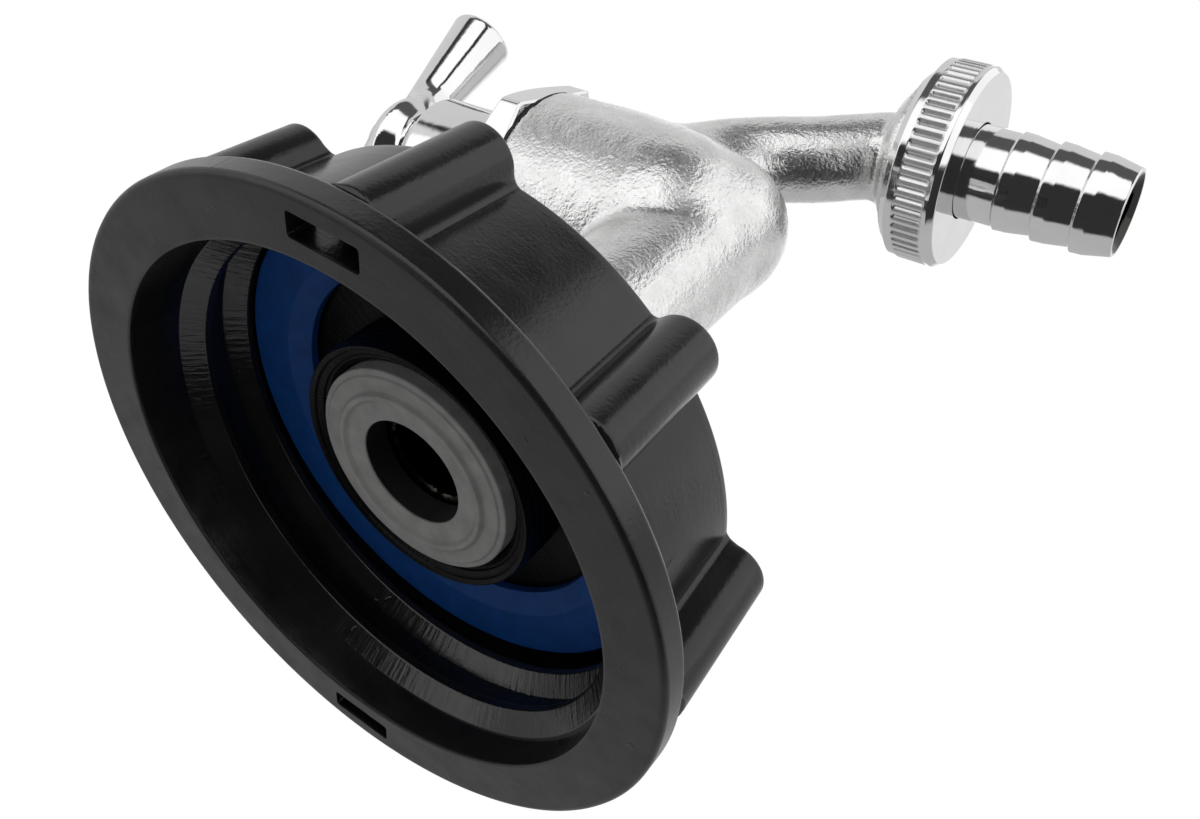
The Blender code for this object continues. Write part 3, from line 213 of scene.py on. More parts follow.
def add_piece(name, mesh, material, body, nodes, sharp=40.0):
    """Shows a mesh as a piece at the origin that rides on a body and stands for CAD nodes."""
    piece = bpy.data.objects.new(name, mesh)
    bpy.context.scene.collection.objects.link(piece)
    mesh.materials.clear()
    mesh.materials.append(material)
    mesh.polygons.foreach_set("use_smooth", np.ones(len(mesh.polygons), bool))
    mesh.set_sharp_from_angle(angle=np.radians(sharp))
    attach(piece, body)
    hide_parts(*nodes)
    return piece


def applied(mesh, setups):
    """The mesh after a chain of modifiers, each a (kind, settings) pair, has been worked out."""
    carrier = bpy.data.objects.new("carrier", mesh)
    bpy.context.scene.collection.objects.link(carrier)
    operands = []
    for kind, settings in setups:
        modifier = carrier.modifiers.new(kind, kind)
        for key, value in settings.items():
            if isinstance(value, bpy.types.Mesh):
                value = bpy.data.objects.new("operand", value)
                bpy.context.scene.collection.objects.link(value)
                operands.append(value)
            setattr(modifier, key, value)
    result = bpy.data.meshes.new_from_object(carrier.evaluated_get(bpy.context.evaluated_depsgraph_get()))
    for spare in [carrier] + operands:
        bpy.data.objects.remove(spare)
    if not result.polygons:
        raise RuntimeError("the modifiers left nothing of " + mesh.name)
    return result


def remeshed(node, voxel):
    """A CAD node's surface, merged and cut into even quads of about one voxel."""
    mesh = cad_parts[node].data.copy()
    bm = bmesh.new()
    bm.from_mesh(mesh)
    bmesh.ops.remove_doubles(bm, verts=bm.verts, dist=1e-6)
    bm.to_mesh(mesh)
    bm.free()
    return applied(mesh, [("REMESH", {"mode": "VOXEL", "voxel_size": voxel})])


def point_table(mesh):
    """The vertices of a mesh in millimetres, one row each."""
    co = np.zeros(len(mesh.vertices) * 3, np.float32)
    mesh.vertices.foreach_get("co", co)
    return co.reshape(-1, 3).astype(float) / MM


def settled(mesh, distance, passes=5):
    """The vertices moved onto the surface where a distance function of points in millimetres is 0, and
    their normals: each pass steps by distance * gradient / squared length of the gradient, found by
    differences, and by 0.6 mm at most."""
    co = point_table(mesh)
    step = 0.02
    for _ in range(passes):
        here = distance(co)
        slope = np.stack([(distance(co + step * unit) - here) / step for unit in np.eye(3)], -1)
        move = here[:, None] * slope / np.maximum((slope ** 2).sum(1, keepdims=True), 0.25)
        length = np.linalg.norm(move, axis=1, keepdims=True)
        co -= move * np.minimum(1.0, 0.6 / np.maximum(length, 1e-9))
    return co, slope / np.maximum(np.linalg.norm(slope, axis=1, keepdims=True), 1e-9)


def mark(mesh, name, rule):
    """Stores 1 on the vertices whose place in millimetres follows a rule, and 0 on the others."""
    layer = mesh.attributes.new(name, "FLOAT", "POINT")
    layer.data.foreach_set("value", rule(*point_table(mesh).T).astype(np.float32))


def write_points(mesh, co):
    """Puts points in millimetres back into a mesh."""
    mesh.vertices.foreach_set("co", (co * MM).astype(np.float32).ravel())
    mesh.update()
    return mesh


def ripples(points, wavelength, count, seed):
    """Height of crossed waves, about -1 to 1: the sum of sines with seeded directions, phases and
    lengths near the given one, over the root of half their number."""
    draw = np.random.default_rng(seed)
    direction = draw.normal(size=(3, count))
    direction /= np.linalg.norm(direction, axis=0)
    rate = TAU / (wavelength * draw.uniform(0.7, 1.6, count))
    return np.sin(points @ (direction * rate) + draw.uniform(0.0, TAU, count)).sum(1) / np.sqrt(count / 2.0)


# Distances to simple forms, for points in millimetres

def smooth_low(a, b, reach):
    """The lower of two distances, with a fillet where they differ by less than reach:
    h runs from 0 to 1 across the fillet, and reach * h * (1 - h) is taken off the mix of both."""
    h = np.clip(0.5 + 0.5 * (b - a) / reach, 0.0, 1.0)
    return b + (a - b) * h - reach * h * (1.0 - h)


def smooth_high(a, b, reach):
    """The higher of two distances with a rounding, the mirror of smooth_low."""
    return -smooth_low(-a, -b, reach)


def drum(across, along, radius, low, high, edge):
    """Distance to a cylinder between low and high whose rims are rounded by edge: the length of the
    part of (across - radius, along - end) that is outside, plus the inside part, less edge."""
    side = across - radius + edge
    end = np.abs(along - (low + high) / 2.0) - (high - low) / 2.0 + edge
    return np.minimum(np.maximum(side, end), 0.0) + np.hypot(np.maximum(side, 0), np.maximum(end, 0)) - edge


def path_distance(x, z, path):
    """Distance in the valve's plane to a line of straight pieces, clamped to each piece's ends."""
    start, step = path[:-1], np.diff(path, axis=0)
    to_x = x[:, None] - start[:, 0]
    to_z = z[:, None] - start[:, 1]
    share = np.clip((to_x * step[:, 0] + to_z * step[:, 1]) / (step ** 2).sum(1), 0.0, 1.0)
    return np.sqrt(((to_x - share * step[:, 0]) ** 2 + (to_z - share * step[:, 1]) ** 2).min(1))


def cubic(points, count):
    """Points on a cubic curve with four control points: their sum weighted by (1-t)^3, 3t(1-t)^2,
    3t^2(1-t) and t^3."""
    t = np.linspace(0.0, 1.0, count + 1)[:, None]
    a, b, c, d = np.array(points, float)
    return a * (1 - t) ** 3 + b * 3 * t * (1 - t) ** 2 + c * 3 * t * t * (1 - t) + d * t ** 3


# Node materials

def add_node(tree, kind, inputs=None, **settings):
    """Adds a node, sets its settings, and sets or links its inputs."""
    node = tree.nodes.new(kind)
    for key, value in settings.items():
        setattr(node, key, value)
    for key, value in (inputs or {}).items():
        if isinstance(value, bpy.types.NodeSocket):
            tree.links.new(value, node.inputs[key])
        else:
            node.inputs[key].default_value = value
    return node


def ranged(tree, value, start, end, low=0.0, high=1.0, **settings):
    """A value that runs from low to high while another runs from start to end."""
    inputs = {"Value": value, "From Min": start, "From Max": end, "To Min": low, "To Max": high}
    return add_node(tree, "ShaderNodeMapRange", inputs, **settings).outputs["Result"]


def noise(tree, where, scale, detail=3.0, rough=0.55, low=0.0, high=1.0):
    """Noise of a given scale per metre, spread from low to high. From 0 to 1 it may pass both ends,
    which leaves relief without flat spots."""
    inputs = {"Vector": where, "Scale": scale, "Detail": detail, "Roughness": rough}
    wave = add_node(tree, "ShaderNodeTexNoise", inputs).outputs["Fac"]
    return ranged(tree, wave, 0.3, 0.7, low, high, clamp=(low, high) != (0.0, 1.0))


def mixed(tree, share, one, two):
    """A colour between two others by a share from 0 to 1."""
    mix = add_node(tree, "ShaderNodeMix", data_type="RGBA")
    for index, value in ((0, share), (6, one), (7, two)):
        if isinstance(value, bpy.types.NodeSocket):
            tree.links.new(value, mix.inputs[index])
        else:
            mix.inputs[index].default_value = value if index == 0 else (*value, 1.0)[:4]
    return mix.outputs[2]


def sums(tree, operation, *values):
    """A Math node on up to three values."""
    node = add_node(tree, "ShaderNodeMath", operation=operation)
    for index, value in enumerate(values):
        if isinstance(value, bpy.types.NodeSocket):
            tree.links.new(value, node.inputs[index])
        else:
            node.inputs[index].default_value = value
    return node.outputs[0]


def joined(tree, *parts):
    """A vector from one to three numbers."""
    return add_node(tree, "ShaderNodeCombineXYZ", dict(enumerate(parts))).outputs[0]


def bumped(tree, heights):
    """A normal from a chain of Bump nodes, each a (height, depth in metres, strength) triple."""
    normal = None
    for height, depth, strength in heights:
        inputs = {"Height": height, "Distance": depth, "Strength": strength}
        if normal is not None:
            inputs["Normal"] = normal
        normal = add_node(tree, "ShaderNodeBump", inputs).outputs["Normal"]
    return normal


def stored(tree, name):
    """The 0 or 1 that is stored on the vertices under a name, and 0 where nothing is."""
    return add_node(tree, "ShaderNodeAttribute", attribute_name=name).outputs["Fac"]


def dress(tree, shader, colour, rough, heights):
    """Links a shader's colour, roughness and relief."""
    for socket, value in (("Base Color", colour), ("Roughness", rough), ("Normal", bumped(tree, heights))):
        tree.links.new(value, shader.inputs[socket])


def begin_material(name):
    """A new material with its tree, its Principled shader and the object's own coordinates."""
    material = bpy.data.materials.new(name)
    material.use_nodes = True
    tree = material.node_tree
    shader = tree.nodes["Principled BSDF"]
    where = add_node(tree, "ShaderNodeTexCoord").outputs["Object"]
    return material, tree, shader, where


def plastic_material(name, colour, rough=(0.14, 0.26), shine=0.5):
    """Moulded plastic: faint clouds of dust in its colour, a satin front face where x is under a
    tenth of a millimetre, gloss elsewhere, and a fine moulded grain. Its relief also has tool marks
    across the thread inside the mouth, faint lines round the outside, and a few long scratches."""
    material, tree, shader, where = begin_material(name)
    cloud = noise(tree, where, 120.0, 4.0)
    skin = mixed(tree, cloud, [c * 0.6 for c in colour], [c * 1.2 + 0.001 for c in colour])
    x, y, z = add_node(tree, "ShaderNodeSeparateXYZ", {0: where}).outputs
    front = ranged(tree, x, 0.0001, 0.0004, 1.0, 0.0)
    gloss = noise(tree, where, 260.0, 5.0, 0.6, *rough)
    satin = noise(tree, where, 260.0, 5.0, 0.6, 0.34, 0.46)
    level = sums(tree, "MULTIPLY_ADD", front, sums(tree, "SUBTRACT", satin, gloss), gloss)
    out = sums(tree, "SQRT", sums(tree, "MULTIPLY_ADD", y, y, sums(tree, "MULTIPLY", z, z)))
    inside = ranged(tree, out, (CAP_BORE_RADIUS + 0.1) * MM, (CAP_BORE_RADIUS + 0.6) * MM, 1.0, 0.0)
    arc = sums(tree, "MULTIPLY", sums(tree, "ARCTAN2", z, y), 0.03)
    across = joined(tree, arc, sums(tree, "MULTIPLY", x, 0.2))
    tool_marks = sums(tree, "MULTIPLY", noise(tree, across, 1500.0, 2.0), inside)
    round_lines = joined(tree, x, sums(tree, "MULTIPLY", arc, 0.02), out)
    slanted = add_node(tree, "ShaderNodeMapping", {"Vector": where, "Rotation": (0.5, 0.3, 0.9),
                                                   "Scale": (40.0, 700.0, 700.0)}).outputs[0]
    streak = add_node(tree, "ShaderNodeTexNoise", {"Vector": slanted, "Scale": 1.0, "Detail": 1.0}).outputs[0]
    dress(tree, shader, skin, level, [
        (noise(tree, where, 90.0, 2.0), 0.00012, 0.35), (noise(tree, where, 2600.0, 3.0), 0.00002, 0.4),
        (tool_marks, 0.00007, 0.45), (noise(tree, round_lines, 1400.0, 2.0), 0.000012, 0.5),
        (noise(tree, slanted, 1.0, 1.0, 0.5), 0.00001, 0.4),
        (ranged(tree, streak, 0.74, 0.78), 0.00005, 0.6)])
    shader.inputs["Specular IOR Level"].default_value = shine
    return material


def rubber_material(name, colour, rough=(0.55, 0.75), shine=0.5):
    """Rubber: nearly matt, with a slight mottle in colour and surface, and painted shade that darkens its
    bore nearly to black.
    """
    material, tree, shader, where = begin_material(name)
    cloud = noise(tree, where, 400.0, 4.0)
    skin = mixed(tree, cloud, [c * 0.85 for c in colour], [c * 1.15 for c in colour])
    # painted shade: where the vertices are marked as bore, the colour drops to 3 percent
    skin = mixed(tree, stored(tree, "bore"), skin, [c * 0.03 for c in colour])
    dress(tree, shader, skin, noise(tree, where, 500.0, 4.0, 0.6, *rough),
          [(noise(tree, where, 1800.0, 4.0), 0.00004, 0.5)])
    shader.inputs["Specular IOR Level"].default_value = shine
    return material


def cast_material(name, colour):
    """Nickel over a sand casting: two sizes of grain, satin gloss, and painted shade that makes its bores
    nearly black.
    """
    material, tree, shader, where = begin_material(name)
    shader.inputs["Metallic"].default_value = 1.0
    cloud = noise(tree, where, 300.0, 5.0)
    skin = mixed(tree, cloud, [c * 0.88 for c in colour], [min(1.0, c * 1.06) for c in colour])
    # painted shade: the vertices marked as bore take a near-black colour
    skin = mixed(tree, stored(tree, "bore"), skin, (0.05, 0.046, 0.042))
    dress(tree, shader, skin, noise(tree, where, 1500.0, 4.0, 0.6, 0.25, 0.35), [
        (noise(tree, where, 600.0, 2.0), 0.00007, 0.5), (noise(tree, where, 2100.0, 2.0), 0.00006, 0.7)])
    return material


def plated_material(name, colour, rough=(0.05, 0.11)):
    """Polished plating: mirror gloss with slight waves under it, faint wiping marks, rougher on a grip
    and painted shade that makes a bore nearly black."""
    material, tree, shader, where = begin_material(name)
    shader.inputs["Metallic"].default_value = 1.0
    skin = mixed(tree, noise(tree, where, 150.0), [c * 0.93 for c in colour], colour)
    # painted shade: the vertices marked as bore take a near-black colour
    skin = mixed(tree, stored(tree, "bore"), skin, (0.05, 0.047, 0.045))
    gloss = noise(tree, where, 900.0, 5.0, 0.65, *rough)
    gloss = sums(tree, "MULTIPLY_ADD", stored(tree, "grip"), 0.24, gloss)
    dress(tree, shader, skin, gloss, [
        (noise(tree, where, 260.0, 2.0), 0.00003, 0.6), (noise(tree, where, 2400.0, 3.0), 0.000002, 0.5)])
    return material


def colour_property(name, description, default):
    """A colour that the user may change."""
    return FloatVectorProperty(name=name, description=description, default=default, subtype="COLOR",
                               min=0.0, max=1.0, size=3)


def length_property(name, description, default):
    """A length that the user may change."""
    return FloatProperty(name=name, description=description, default=default, unit="LENGTH",
                         subtype="DISTANCE", precision=5)


# Sizes and colours

class CapSettings(bpy.types.PropertyGroup):
    """Sizes and colour of the screw cap."""
    rib_count: IntProperty(name="Ribs", description="Number of grip ribs", default=8)
    rib_phase: FloatProperty(name="First rib", description="Angle of the first rib from +Y towards +Z",
                             default=np.radians(7.3), subtype="ANGLE")
    rib_width: length_property("Rib width", "Width across a grip rib", 7.0 * MM)
    rib_height: length_property("Rib height", "Height of a rib over the wall", 4.9 * MM)
    thread_pitch: length_property("Thread pitch", "Advance of the thread in one turn", 6.0 * MM)
    thread_depth: length_property("Thread depth", "Height of the thread's ridge", 2.0 * MM)
    plastic: colour_property("Plastic", "Colour of the black plastic", (0.007, 0.007, 0.007))


class SealSettings(bpy.types.PropertyGroup):
    """Sizes and colours of the seals inside the cap."""
    bead_height: length_property("Bead height", "Height of the grey washer's raised bead", 0.5 * MM)
    blue: colour_property("Blue rubber", "Colour of the mouth seal", (0.005, 0.052, 0.22))
    grey: colour_property("Grey rubber", "Colour of the profile washer", (0.26, 0.26, 0.255))


class TapSettings(bpy.types.PropertyGroup):
    """Sizes and colour of the cast tap body."""
    voxel: length_property("Facet size", "Length of the casting's facets", 0.5 * MM)
    lumps: length_property("Lump height", "Height of the casting's soft lumps", 0.02 * MM)
    nickel: colour_property("Nickel", "Colour of the nickel-plated casting", (0.8, 0.8, 0.795))


class ChromeSettings(bpy.types.PropertyGroup):
    """Sizes and colour of the polished pieces."""
    voxel: length_property("Handle facet", "Length of the handle's facets", 0.3 * MM)
    knurl_count: IntProperty(name="Knurls", description="Number of ridges round the union nut", default=60)
    knurl_depth: length_property("Knurl depth", "Depth of the grooves between the ridges", 0.45 * MM)
    chrome: colour_property("Chrome", "Colour of the polished chrome", (0.78, 0.78, 0.78))


class StageSettings(bpy.types.PropertyGroup):
    """Floor, background and light."""
    floor_height: length_property("Floor height", "Height of the floor", -100.0 * MM)
    ambient: FloatProperty(name="Ambient", description="Strength of the light from all round", default=0.4)
    lamp: FloatProperty(name="Lamp", description="Power of the lamp overhead", default=2.5, subtype="POWER")
    floor_colour: colour_property("Floor", "Colour of the floor", (0.85, 0.85, 0.85))


# Screw cap

def cap_columns(settings):
    """The ribbed outline as five rows: the angle of the rib or place, the distance across and the height
    over the wall, and the two parts of the normal.

    Between the ribs the columns lie on the wall at even angles. On a rib they follow a root fillet, a
    straight side and a half round top, all measured across and above the wall at the rib's middle."""
    width = settings.rib_width / MM / 2.0
    straight = settings.rib_height / MM - width
    fillet = 0.8
    a = np.linspace(0.0, np.pi / 2.0, 6)
    foot = np.sqrt(RIB_BASE_RADIUS ** 2 - (width + fillet) ** 2) - RIB_BASE_RADIUS
    root = np.stack([width + fillet - fillet * np.sin(a), foot + fillet - fillet * np.cos(a),
                     np.sin(a), np.cos(a)], -1)
    b = np.linspace(0.0, np.pi / 2.0, 12)[1:]
    side = np.linspace(foot + fillet, straight, 4)[1:]
    side = np.stack([0.0 * side + width, side, 0.0 * side + 1.0, 0.0 * side], -1)
    top = np.stack([width * np.cos(b), straight + width * np.sin(b), np.cos(b), np.sin(b)], -1)
    half = np.concatenate([root, side, top])
    section = np.concatenate([half * [-1.0, 1.0, -1.0, 1.0], half[-2::-1]])
    ribs = settings.rib_phase + np.arange(settings.rib_count) * TAU / settings.rib_count
    edge = np.arctan2(width + fillet, RIB_BASE_RADIUS + foot)
    gap = TAU / settings.rib_count - 2.0 * edge
    between = np.linspace(0.0, 1.0, 26)[1:-1] * gap + edge
    plain = np.stack([between, 0 * between, 0 * between, 0 * between, 0 * between + 1.0], -1)
    one = np.concatenate([np.pad(section, ((0, 0), (1, 0))), plain])
    columns = np.repeat(one[None], settings.rib_count, 0)
    columns[..., 0] += ribs[:, None]
    return columns.reshape(-1, 5).T


def cap_surface(settings):
    """The cap as a grid: every column runs along the profile of flange, wall, floor and root cylinder.

    A row of the wall lies at (wall radius + height over the wall) along the column's own direction,
    offset by its distance across. Every other row is a circle, at the angles that the wall's first row
    has for the flange, and its last row for the floor and the inside."""
    angle, across, over, normal_across, normal_over = cap_columns(settings)
    depth = CAP_DEPTH

    def wall(x, inset, limit=99.0):
        share = (x - FLANGE_BACK) / (depth - FLANGE_BACK)
        radius = WALL_FOOT_RADIUS - WALL_TAPER * share + over - inset * normal_over
        aside = across - inset * normal_across
        y = radius * np.cos(angle) - aside * np.sin(angle)
        z = radius * np.sin(angle) + aside * np.cos(angle)
        shrink = np.minimum(1.0, limit / np.hypot(y, z))
        return np.stack([x + 0.0 * y, y * shrink, z * shrink], -1)

    def ring(x, radius):
        return np.stack([x + 0.0 * place, radius * np.cos(place), radius * np.sin(place)], -1)

    back, rim, bore = FLANGE_BACK, FLANGE_RADIUS, CAP_BORE_RADIUS
    base = wall(back, -0.5, rim - 0.6)
    place = np.arctan2(base[:, 2], base[:, 1])
    raised = np.clip(over / 1.2, 0.0, 1.0)
    end = depth - 0.3 * raised
    rows = [ring(x, r) for x, r in (
        (3.4, bore + 0.25), (1.8, bore + 0.5), (0.3, bore + 0.63), (0.1, bore + 0.67), (0.0, bore + 0.8),
        (0.0, bore + 1.0), (0.0, rim - 3.5), (0.0, rim - 0.8), (0.0, rim - 0.65), (0.05, rim - 0.4),
        (0.2, rim - 0.15), (0.45, rim), (0.6, rim), (back / 2.0, rim), (back - 0.6, rim), (back - 0.45, rim),
        (back - 0.2, rim - 0.1), (back - 0.05, rim - 0.3), (back, rim - 0.5))]
    rows += [rows[-1] + (base - rows[-1]) * share for share in (0.1, 0.5, 0.9)] + [base]
    rows += [wall(back + 0.5 - 0.5 * np.cos(a), -0.5 + 0.5 * np.sin(a), rim - 0.6 + a * 0.45)
             for a in (0.4, 0.8, 1.2, np.pi / 2.0)]
    rows += [wall(x, 0.0) for x in np.linspace(back + 0.65, depth - 1.2, 14)]
    for a in np.linspace(0.0, np.pi / 2.0, 6):
        rows.append(wall(end - 0.45 + 0.45 * np.sin(a), 0.45 - 0.45 * np.cos(a)))
    last = rows[-1]
    place = np.arctan2(last[:, 2], last[:, 1])
    inner = ring(end, bore + 0.6)
    rows += [last + (inner - last) * share for share in (0.15, 0.85, 1.0)]
    rows += [ring(depth, r) for r in (bore + 0.4, bore + 0.2, 26.0, 20.0, 17.2, 17.0)]
    rows += [ring(x, r) for x, r in (
        (depth - 0.03, 16.82), (depth - 0.12, 16.66), (depth - 0.3, 16.6), (depth - 0.45, 16.6), (19.2, 16.6),
        (19.0, 16.6), (18.78, 16.68), (18.7, 16.9), (18.7, 17.05), (18.7, bore - 1.1), (18.7, bore - 0.9),
        (18.62, bore - 0.5), (18.4, bore - 0.15), (18.1, bore), (17.9, bore), (12.0, bore), (6.0, bore))]
    grid = np.stack(rows)
    return grid, grid_faces(len(rows), len(place))


def cap_thread(settings):
    """The coarse ridge inside the cap: a saw tooth, sloped towards the mouth and steep behind, carried
    along a helix, x = start + pitch * turns, that sinks into the wall at both ends."""
    turns = np.linspace(0.0, THREAD_TURNS, 480)
    angle = np.radians(-148.0) + TAU * turns
    x = 2.6 + settings.thread_pitch / MM * turns
    height = np.clip(np.minimum(turns, THREAD_TURNS - turns) / 0.1, 0.0, 1.0)
    height = np.sqrt(np.maximum(1.0 - (1.0 - height) ** 2, 0.0))
    depth = settings.thread_depth / MM
    section = rounded([(-1.0, -0.6, 0.05), (-1.0, 0.0, 0.2), (0.9, depth, 0.35), (1.9, depth, 0.4),
                       (2.3, 0.0, 0.2), (2.3, -0.6, 0.05)], 4, 0.1)
    x, angle, height = x[:, None], angle[:, None], height[:, None]
    rise = np.where(section[:, 1] > 0.0, section[:, 1] * height, section[:, 1]) - 0.25 * (1.0 - height)
    radius = CAP_BORE_RADIUS - rise
    grid = np.stack([x + section[:, 0], radius * np.cos(angle), radius * np.sin(angle)], -1)
    ends = grid[[0, -1]].mean(1, keepdims=True) + 0.0 * grid[[0, -1]]
    faces = grid_faces(len(grid) + 2, len(section), wrap_rows=False)
    return np.concatenate([ends[:1], grid, ends[1:]]), faces


def pocket_box(angle):
    """A rectangular pocket through the flange: a rounded rectangle carried along X, turned to its rib."""
    outline = rounded([(32.8, -4.0, 0.35), (35.4, -4.0, 0.35), (35.4, 4.0, 0.35), (32.8, 4.0, 0.35)], 4, 0.1)
    y = outline[:, 0] * np.cos(angle) - outline[:, 1] * np.sin(angle)
    z = outline[:, 0] * np.sin(angle) + outline[:, 1] * np.cos(angle)
    ring = np.stack([0.0 * y, y, z], -1)
    middle = ring.mean(0) + 0.0 * ring
    rows = [middle + [-1.0, 0, 0], ring + [-1.0, 0, 0], ring + [5.0, 0, 0], middle + [5.0, 0, 0]]
    return np.stack(rows), grid_faces(4, len(outline), wrap_rows=False)


class VALVE_OT_cap(bpy.types.Operator):
    """Builds the black screw cap with ribs, internal thread and pockets"""
    bl_idname = "valve.cap"
    bl_label = "Screw cap"

    def execute(self, context):
        settings = context.scene.valve_cap
        shell = make_mesh("screw_cap", [cap_surface(settings)])
        thread = make_mesh("thread", [cap_thread(settings)])
        pockets = make_mesh("pockets", [pocket_box(settings.rib_phase),
                                        pocket_box(settings.rib_phase + np.pi)])
        exact = {"solver": "EXACT"}
        mesh = applied(shell, [("BOOLEAN", dict(exact, operation="UNION", object=thread)),
                               ("BOOLEAN", dict(exact, operation="DIFFERENCE", object=pockets))])
        mesh.name = "screw_cap"
        black = plastic_material("black_moulded_plastic", settings.plastic)
        add_piece("screw_cap", mesh, black, "cap", ["cap_nut"], 38.0)
        return {"FINISHED"}


# Seals and bush inside the cap

class VALVE_OT_seals(bpy.types.Operator):
    """Builds the blue mouth seal and the grey washer with its bead"""
    bl_idname = "valve.seals"
    bl_label = "Seals"

    def execute(self, context):
        settings = context.scene.valve_seals
        blue = rubber_material("blue_seal_rubber", settings.blue, (0.45, 0.6), 0.2)
        grey = rubber_material("grey_washer_rubber", settings.grey)
        outline = rounded([(14.4, 28.0, 0.25), (14.4, 22.6, 0.15), (15.6, 20.2, 0.15), (16.6, 20.2, 0.1),
                           (16.6, 28.0, 0.2)])
        ring = grid_mesh("blue_mouth_ring", turned(outline, "X", columns=240))
        add_piece("blue_mouth_ring", ring, blue, "tap", ["mouth_seal_ring"])
        bead = settings.bead_height / MM
        outline = rounded([(9.5, 6.4, 0.15), (12.9, 6.4, 0.1), (12.9, 12.4, 0.1), (9.75, 12.4, 0.2),
                           (9.7, 11.75, 0.1), (9.5, 11.55, 0.15), (9.5, 9.95, 0.25), (9.5 - bead, 9.6, 0.2),
                           (9.5 - bead, 9.1, 0.2), (9.5, 8.75, 0.25)])
        washer = grid_mesh("beaded_washer", turned(outline, "X", columns=200))
        # painted shade: the wall of the washer's hole is marked so that it renders nearly black
        mark(washer, "bore", lambda x, y, z: (np.hypot(y, z) < 6.5) & (x > 9.7))
        add_piece("beaded_washer", washer, grey, "tap", ["profile_washer"])
        return {"FINISHED"}


class VALVE_OT_bush(bpy.types.Operator):
    """Builds the black bush that joins cap and tap, with its threaded boss"""
    bl_idname = "valve.bush"
    bl_label = "Bush"

    def execute(self, context):
        front = [(11.2, 12.6, 0.15), (10.75, 13.2, 0.08), (10.85, 13.35, 0.05), (10.6, 13.5, 0.05),
                 (10.3, 14.0, 0.05), (10.4, 14.15, 0.05), (10.1, 14.3, 0.05), (9.9, 14.7, 0.1),
                 (9.95, 14.9, 0.1)]
        crests = []
        for x in np.arange(10.9, 16.3, 0.9):
            crests += [(x, 15.08, 0.08), (x + 0.45, 14.98, 0.08)]
        flange = [(16.9, 14.75, 0.2), (16.9, 29.0, 0.15), (18.4, 29.0, 0.15), (18.4, 16.3, 0.15),
                  (19.5, 16.3, 0.15), (19.5, 12.6, 0.15)]
        outline = rounded(front + crests + flange, 3, 0.1)
        bush = grid_mesh("threaded_bush", turned(outline, "X", columns=200))
        black = plastic_material("black_bush_plastic", (0.0035, 0.0035, 0.004), (0.25, 0.35), 0.1)
        add_piece("threaded_bush", bush, black, "tap", ["adaptor_bush"])
        return {"FINISHED"}


# Cast tap body

def spout_path():
    """The spout's centre line in the valve's plane: two cubic curves that share a slope at their join."""
    start = np.array([SPINDLE_X + 5.0, 13.0])
    join = np.array([OUTLET_X - 10.8, -1.2])
    end = np.array([OUTLET_X, -16.0])
    leave = cubic([start, start + [12.0, 3.0], join + [-6.0, 9.2], join], 30)
    arrive = cubic([join, join + [3.5, -5.4], end + [-1.3, 5.3], end], 20)
    return np.concatenate([leave, arrive[1:]])


def casting_distance(points):
    """Distance to the casting, and which points lie on the side of its hollow.

    The body is neck, collar, ball nose, barrel, spout and nozzle joined with fillets. The hollow is the
    bores, the chamber above the seat and the seat's hole. The distance is the higher of the body's and
    the hollow's with its sign turned."""
    x, y, z = points.T
    about_x = np.hypot(y, z)
    about_spindle = np.hypot(x - SPINDLE_X, y)
    about_outlet = np.hypot(x - OUTLET_X, y)
    from_path = np.hypot(path_distance(x, z, spout_path()), y)
    drop = 0.8 * np.clip((x - 24.0) / 12.0, 0.0, 1.0)
    neck = np.sqrt(np.maximum(x - 70.0, 0.0) ** 2 + y ** 2 + (z + drop) ** 2) - NECK_RADIUS + 0.7 * drop
    neck = smooth_low(neck, np.sqrt((x - BALL_X) ** 2 + y ** 2 + (z - 0.3) ** 2) - NECK_RADIUS, 2.5)
    neck = np.maximum(neck, 13.2 - x)
    collar = drum(about_x, x, 18.5, 21.1, 23.7, 0.7)
    up = z - BARREL_MIDDLE
    scaled = np.hypot(about_spindle / 14.3, up / 13.3)
    slope = np.hypot(about_spindle / 14.3 ** 2, up / 13.3 ** 2)
    side = about_spindle - BARREL_RADIUS - 0.3 * np.clip(up / 19.0, 0.0, 1.0)
    barrel = np.where(up < 0.0, scaled * (scaled - 1.0) / np.maximum(slope, 1e-6), side)
    barrel = smooth_high(barrel, z - BARREL_TOP, 0.5)
    flare = 11.0 - 2.3 * np.clip((z + 13.8) / 1.6, 0.0, 1.0)
    nozzle = np.maximum(about_outlet - flare, np.maximum(z + 12.2, -14.9 - z))
    body = smooth_low(neck, barrel, 1.3)
    body = smooth_low(body, from_path - SPOUT_RADIUS, 9.0)
    body = smooth_low(body, nozzle, 1.6)
    body = smooth_low(body, collar, 1.6)
    body = np.minimum(body, drum(about_outlet, z, 13.0, -18.2, -14.8, 0.25))
    body = np.minimum(body, drum(about_x, x, 13.0, 13.2, 22.0, 0.5))
    hollow = np.maximum(about_x - 5.6, x - 64.1)
    hollow = np.minimum(hollow, np.sqrt((x - 67.5) ** 2 + y ** 2 + (z + 0.8) ** 2) - 6.8)
    hollow = np.minimum(hollow, np.maximum(about_spindle - 12.3, 8.0 - z))
    lip = np.maximum(about_spindle - 7.0, z - 9.2)
    hollow = np.where(z > 4.0, np.maximum(hollow, -lip), hollow)
    hollow = np.minimum(hollow, np.maximum(about_spindle - 5.5, np.maximum(z - 10.0, -0.8 - z)))
    below = np.where(z < -16.0, about_outlet, from_path)
    hollow = np.minimum(hollow, below - BORE_RADIUS)
    return np.maximum(body, -hollow), -hollow > body


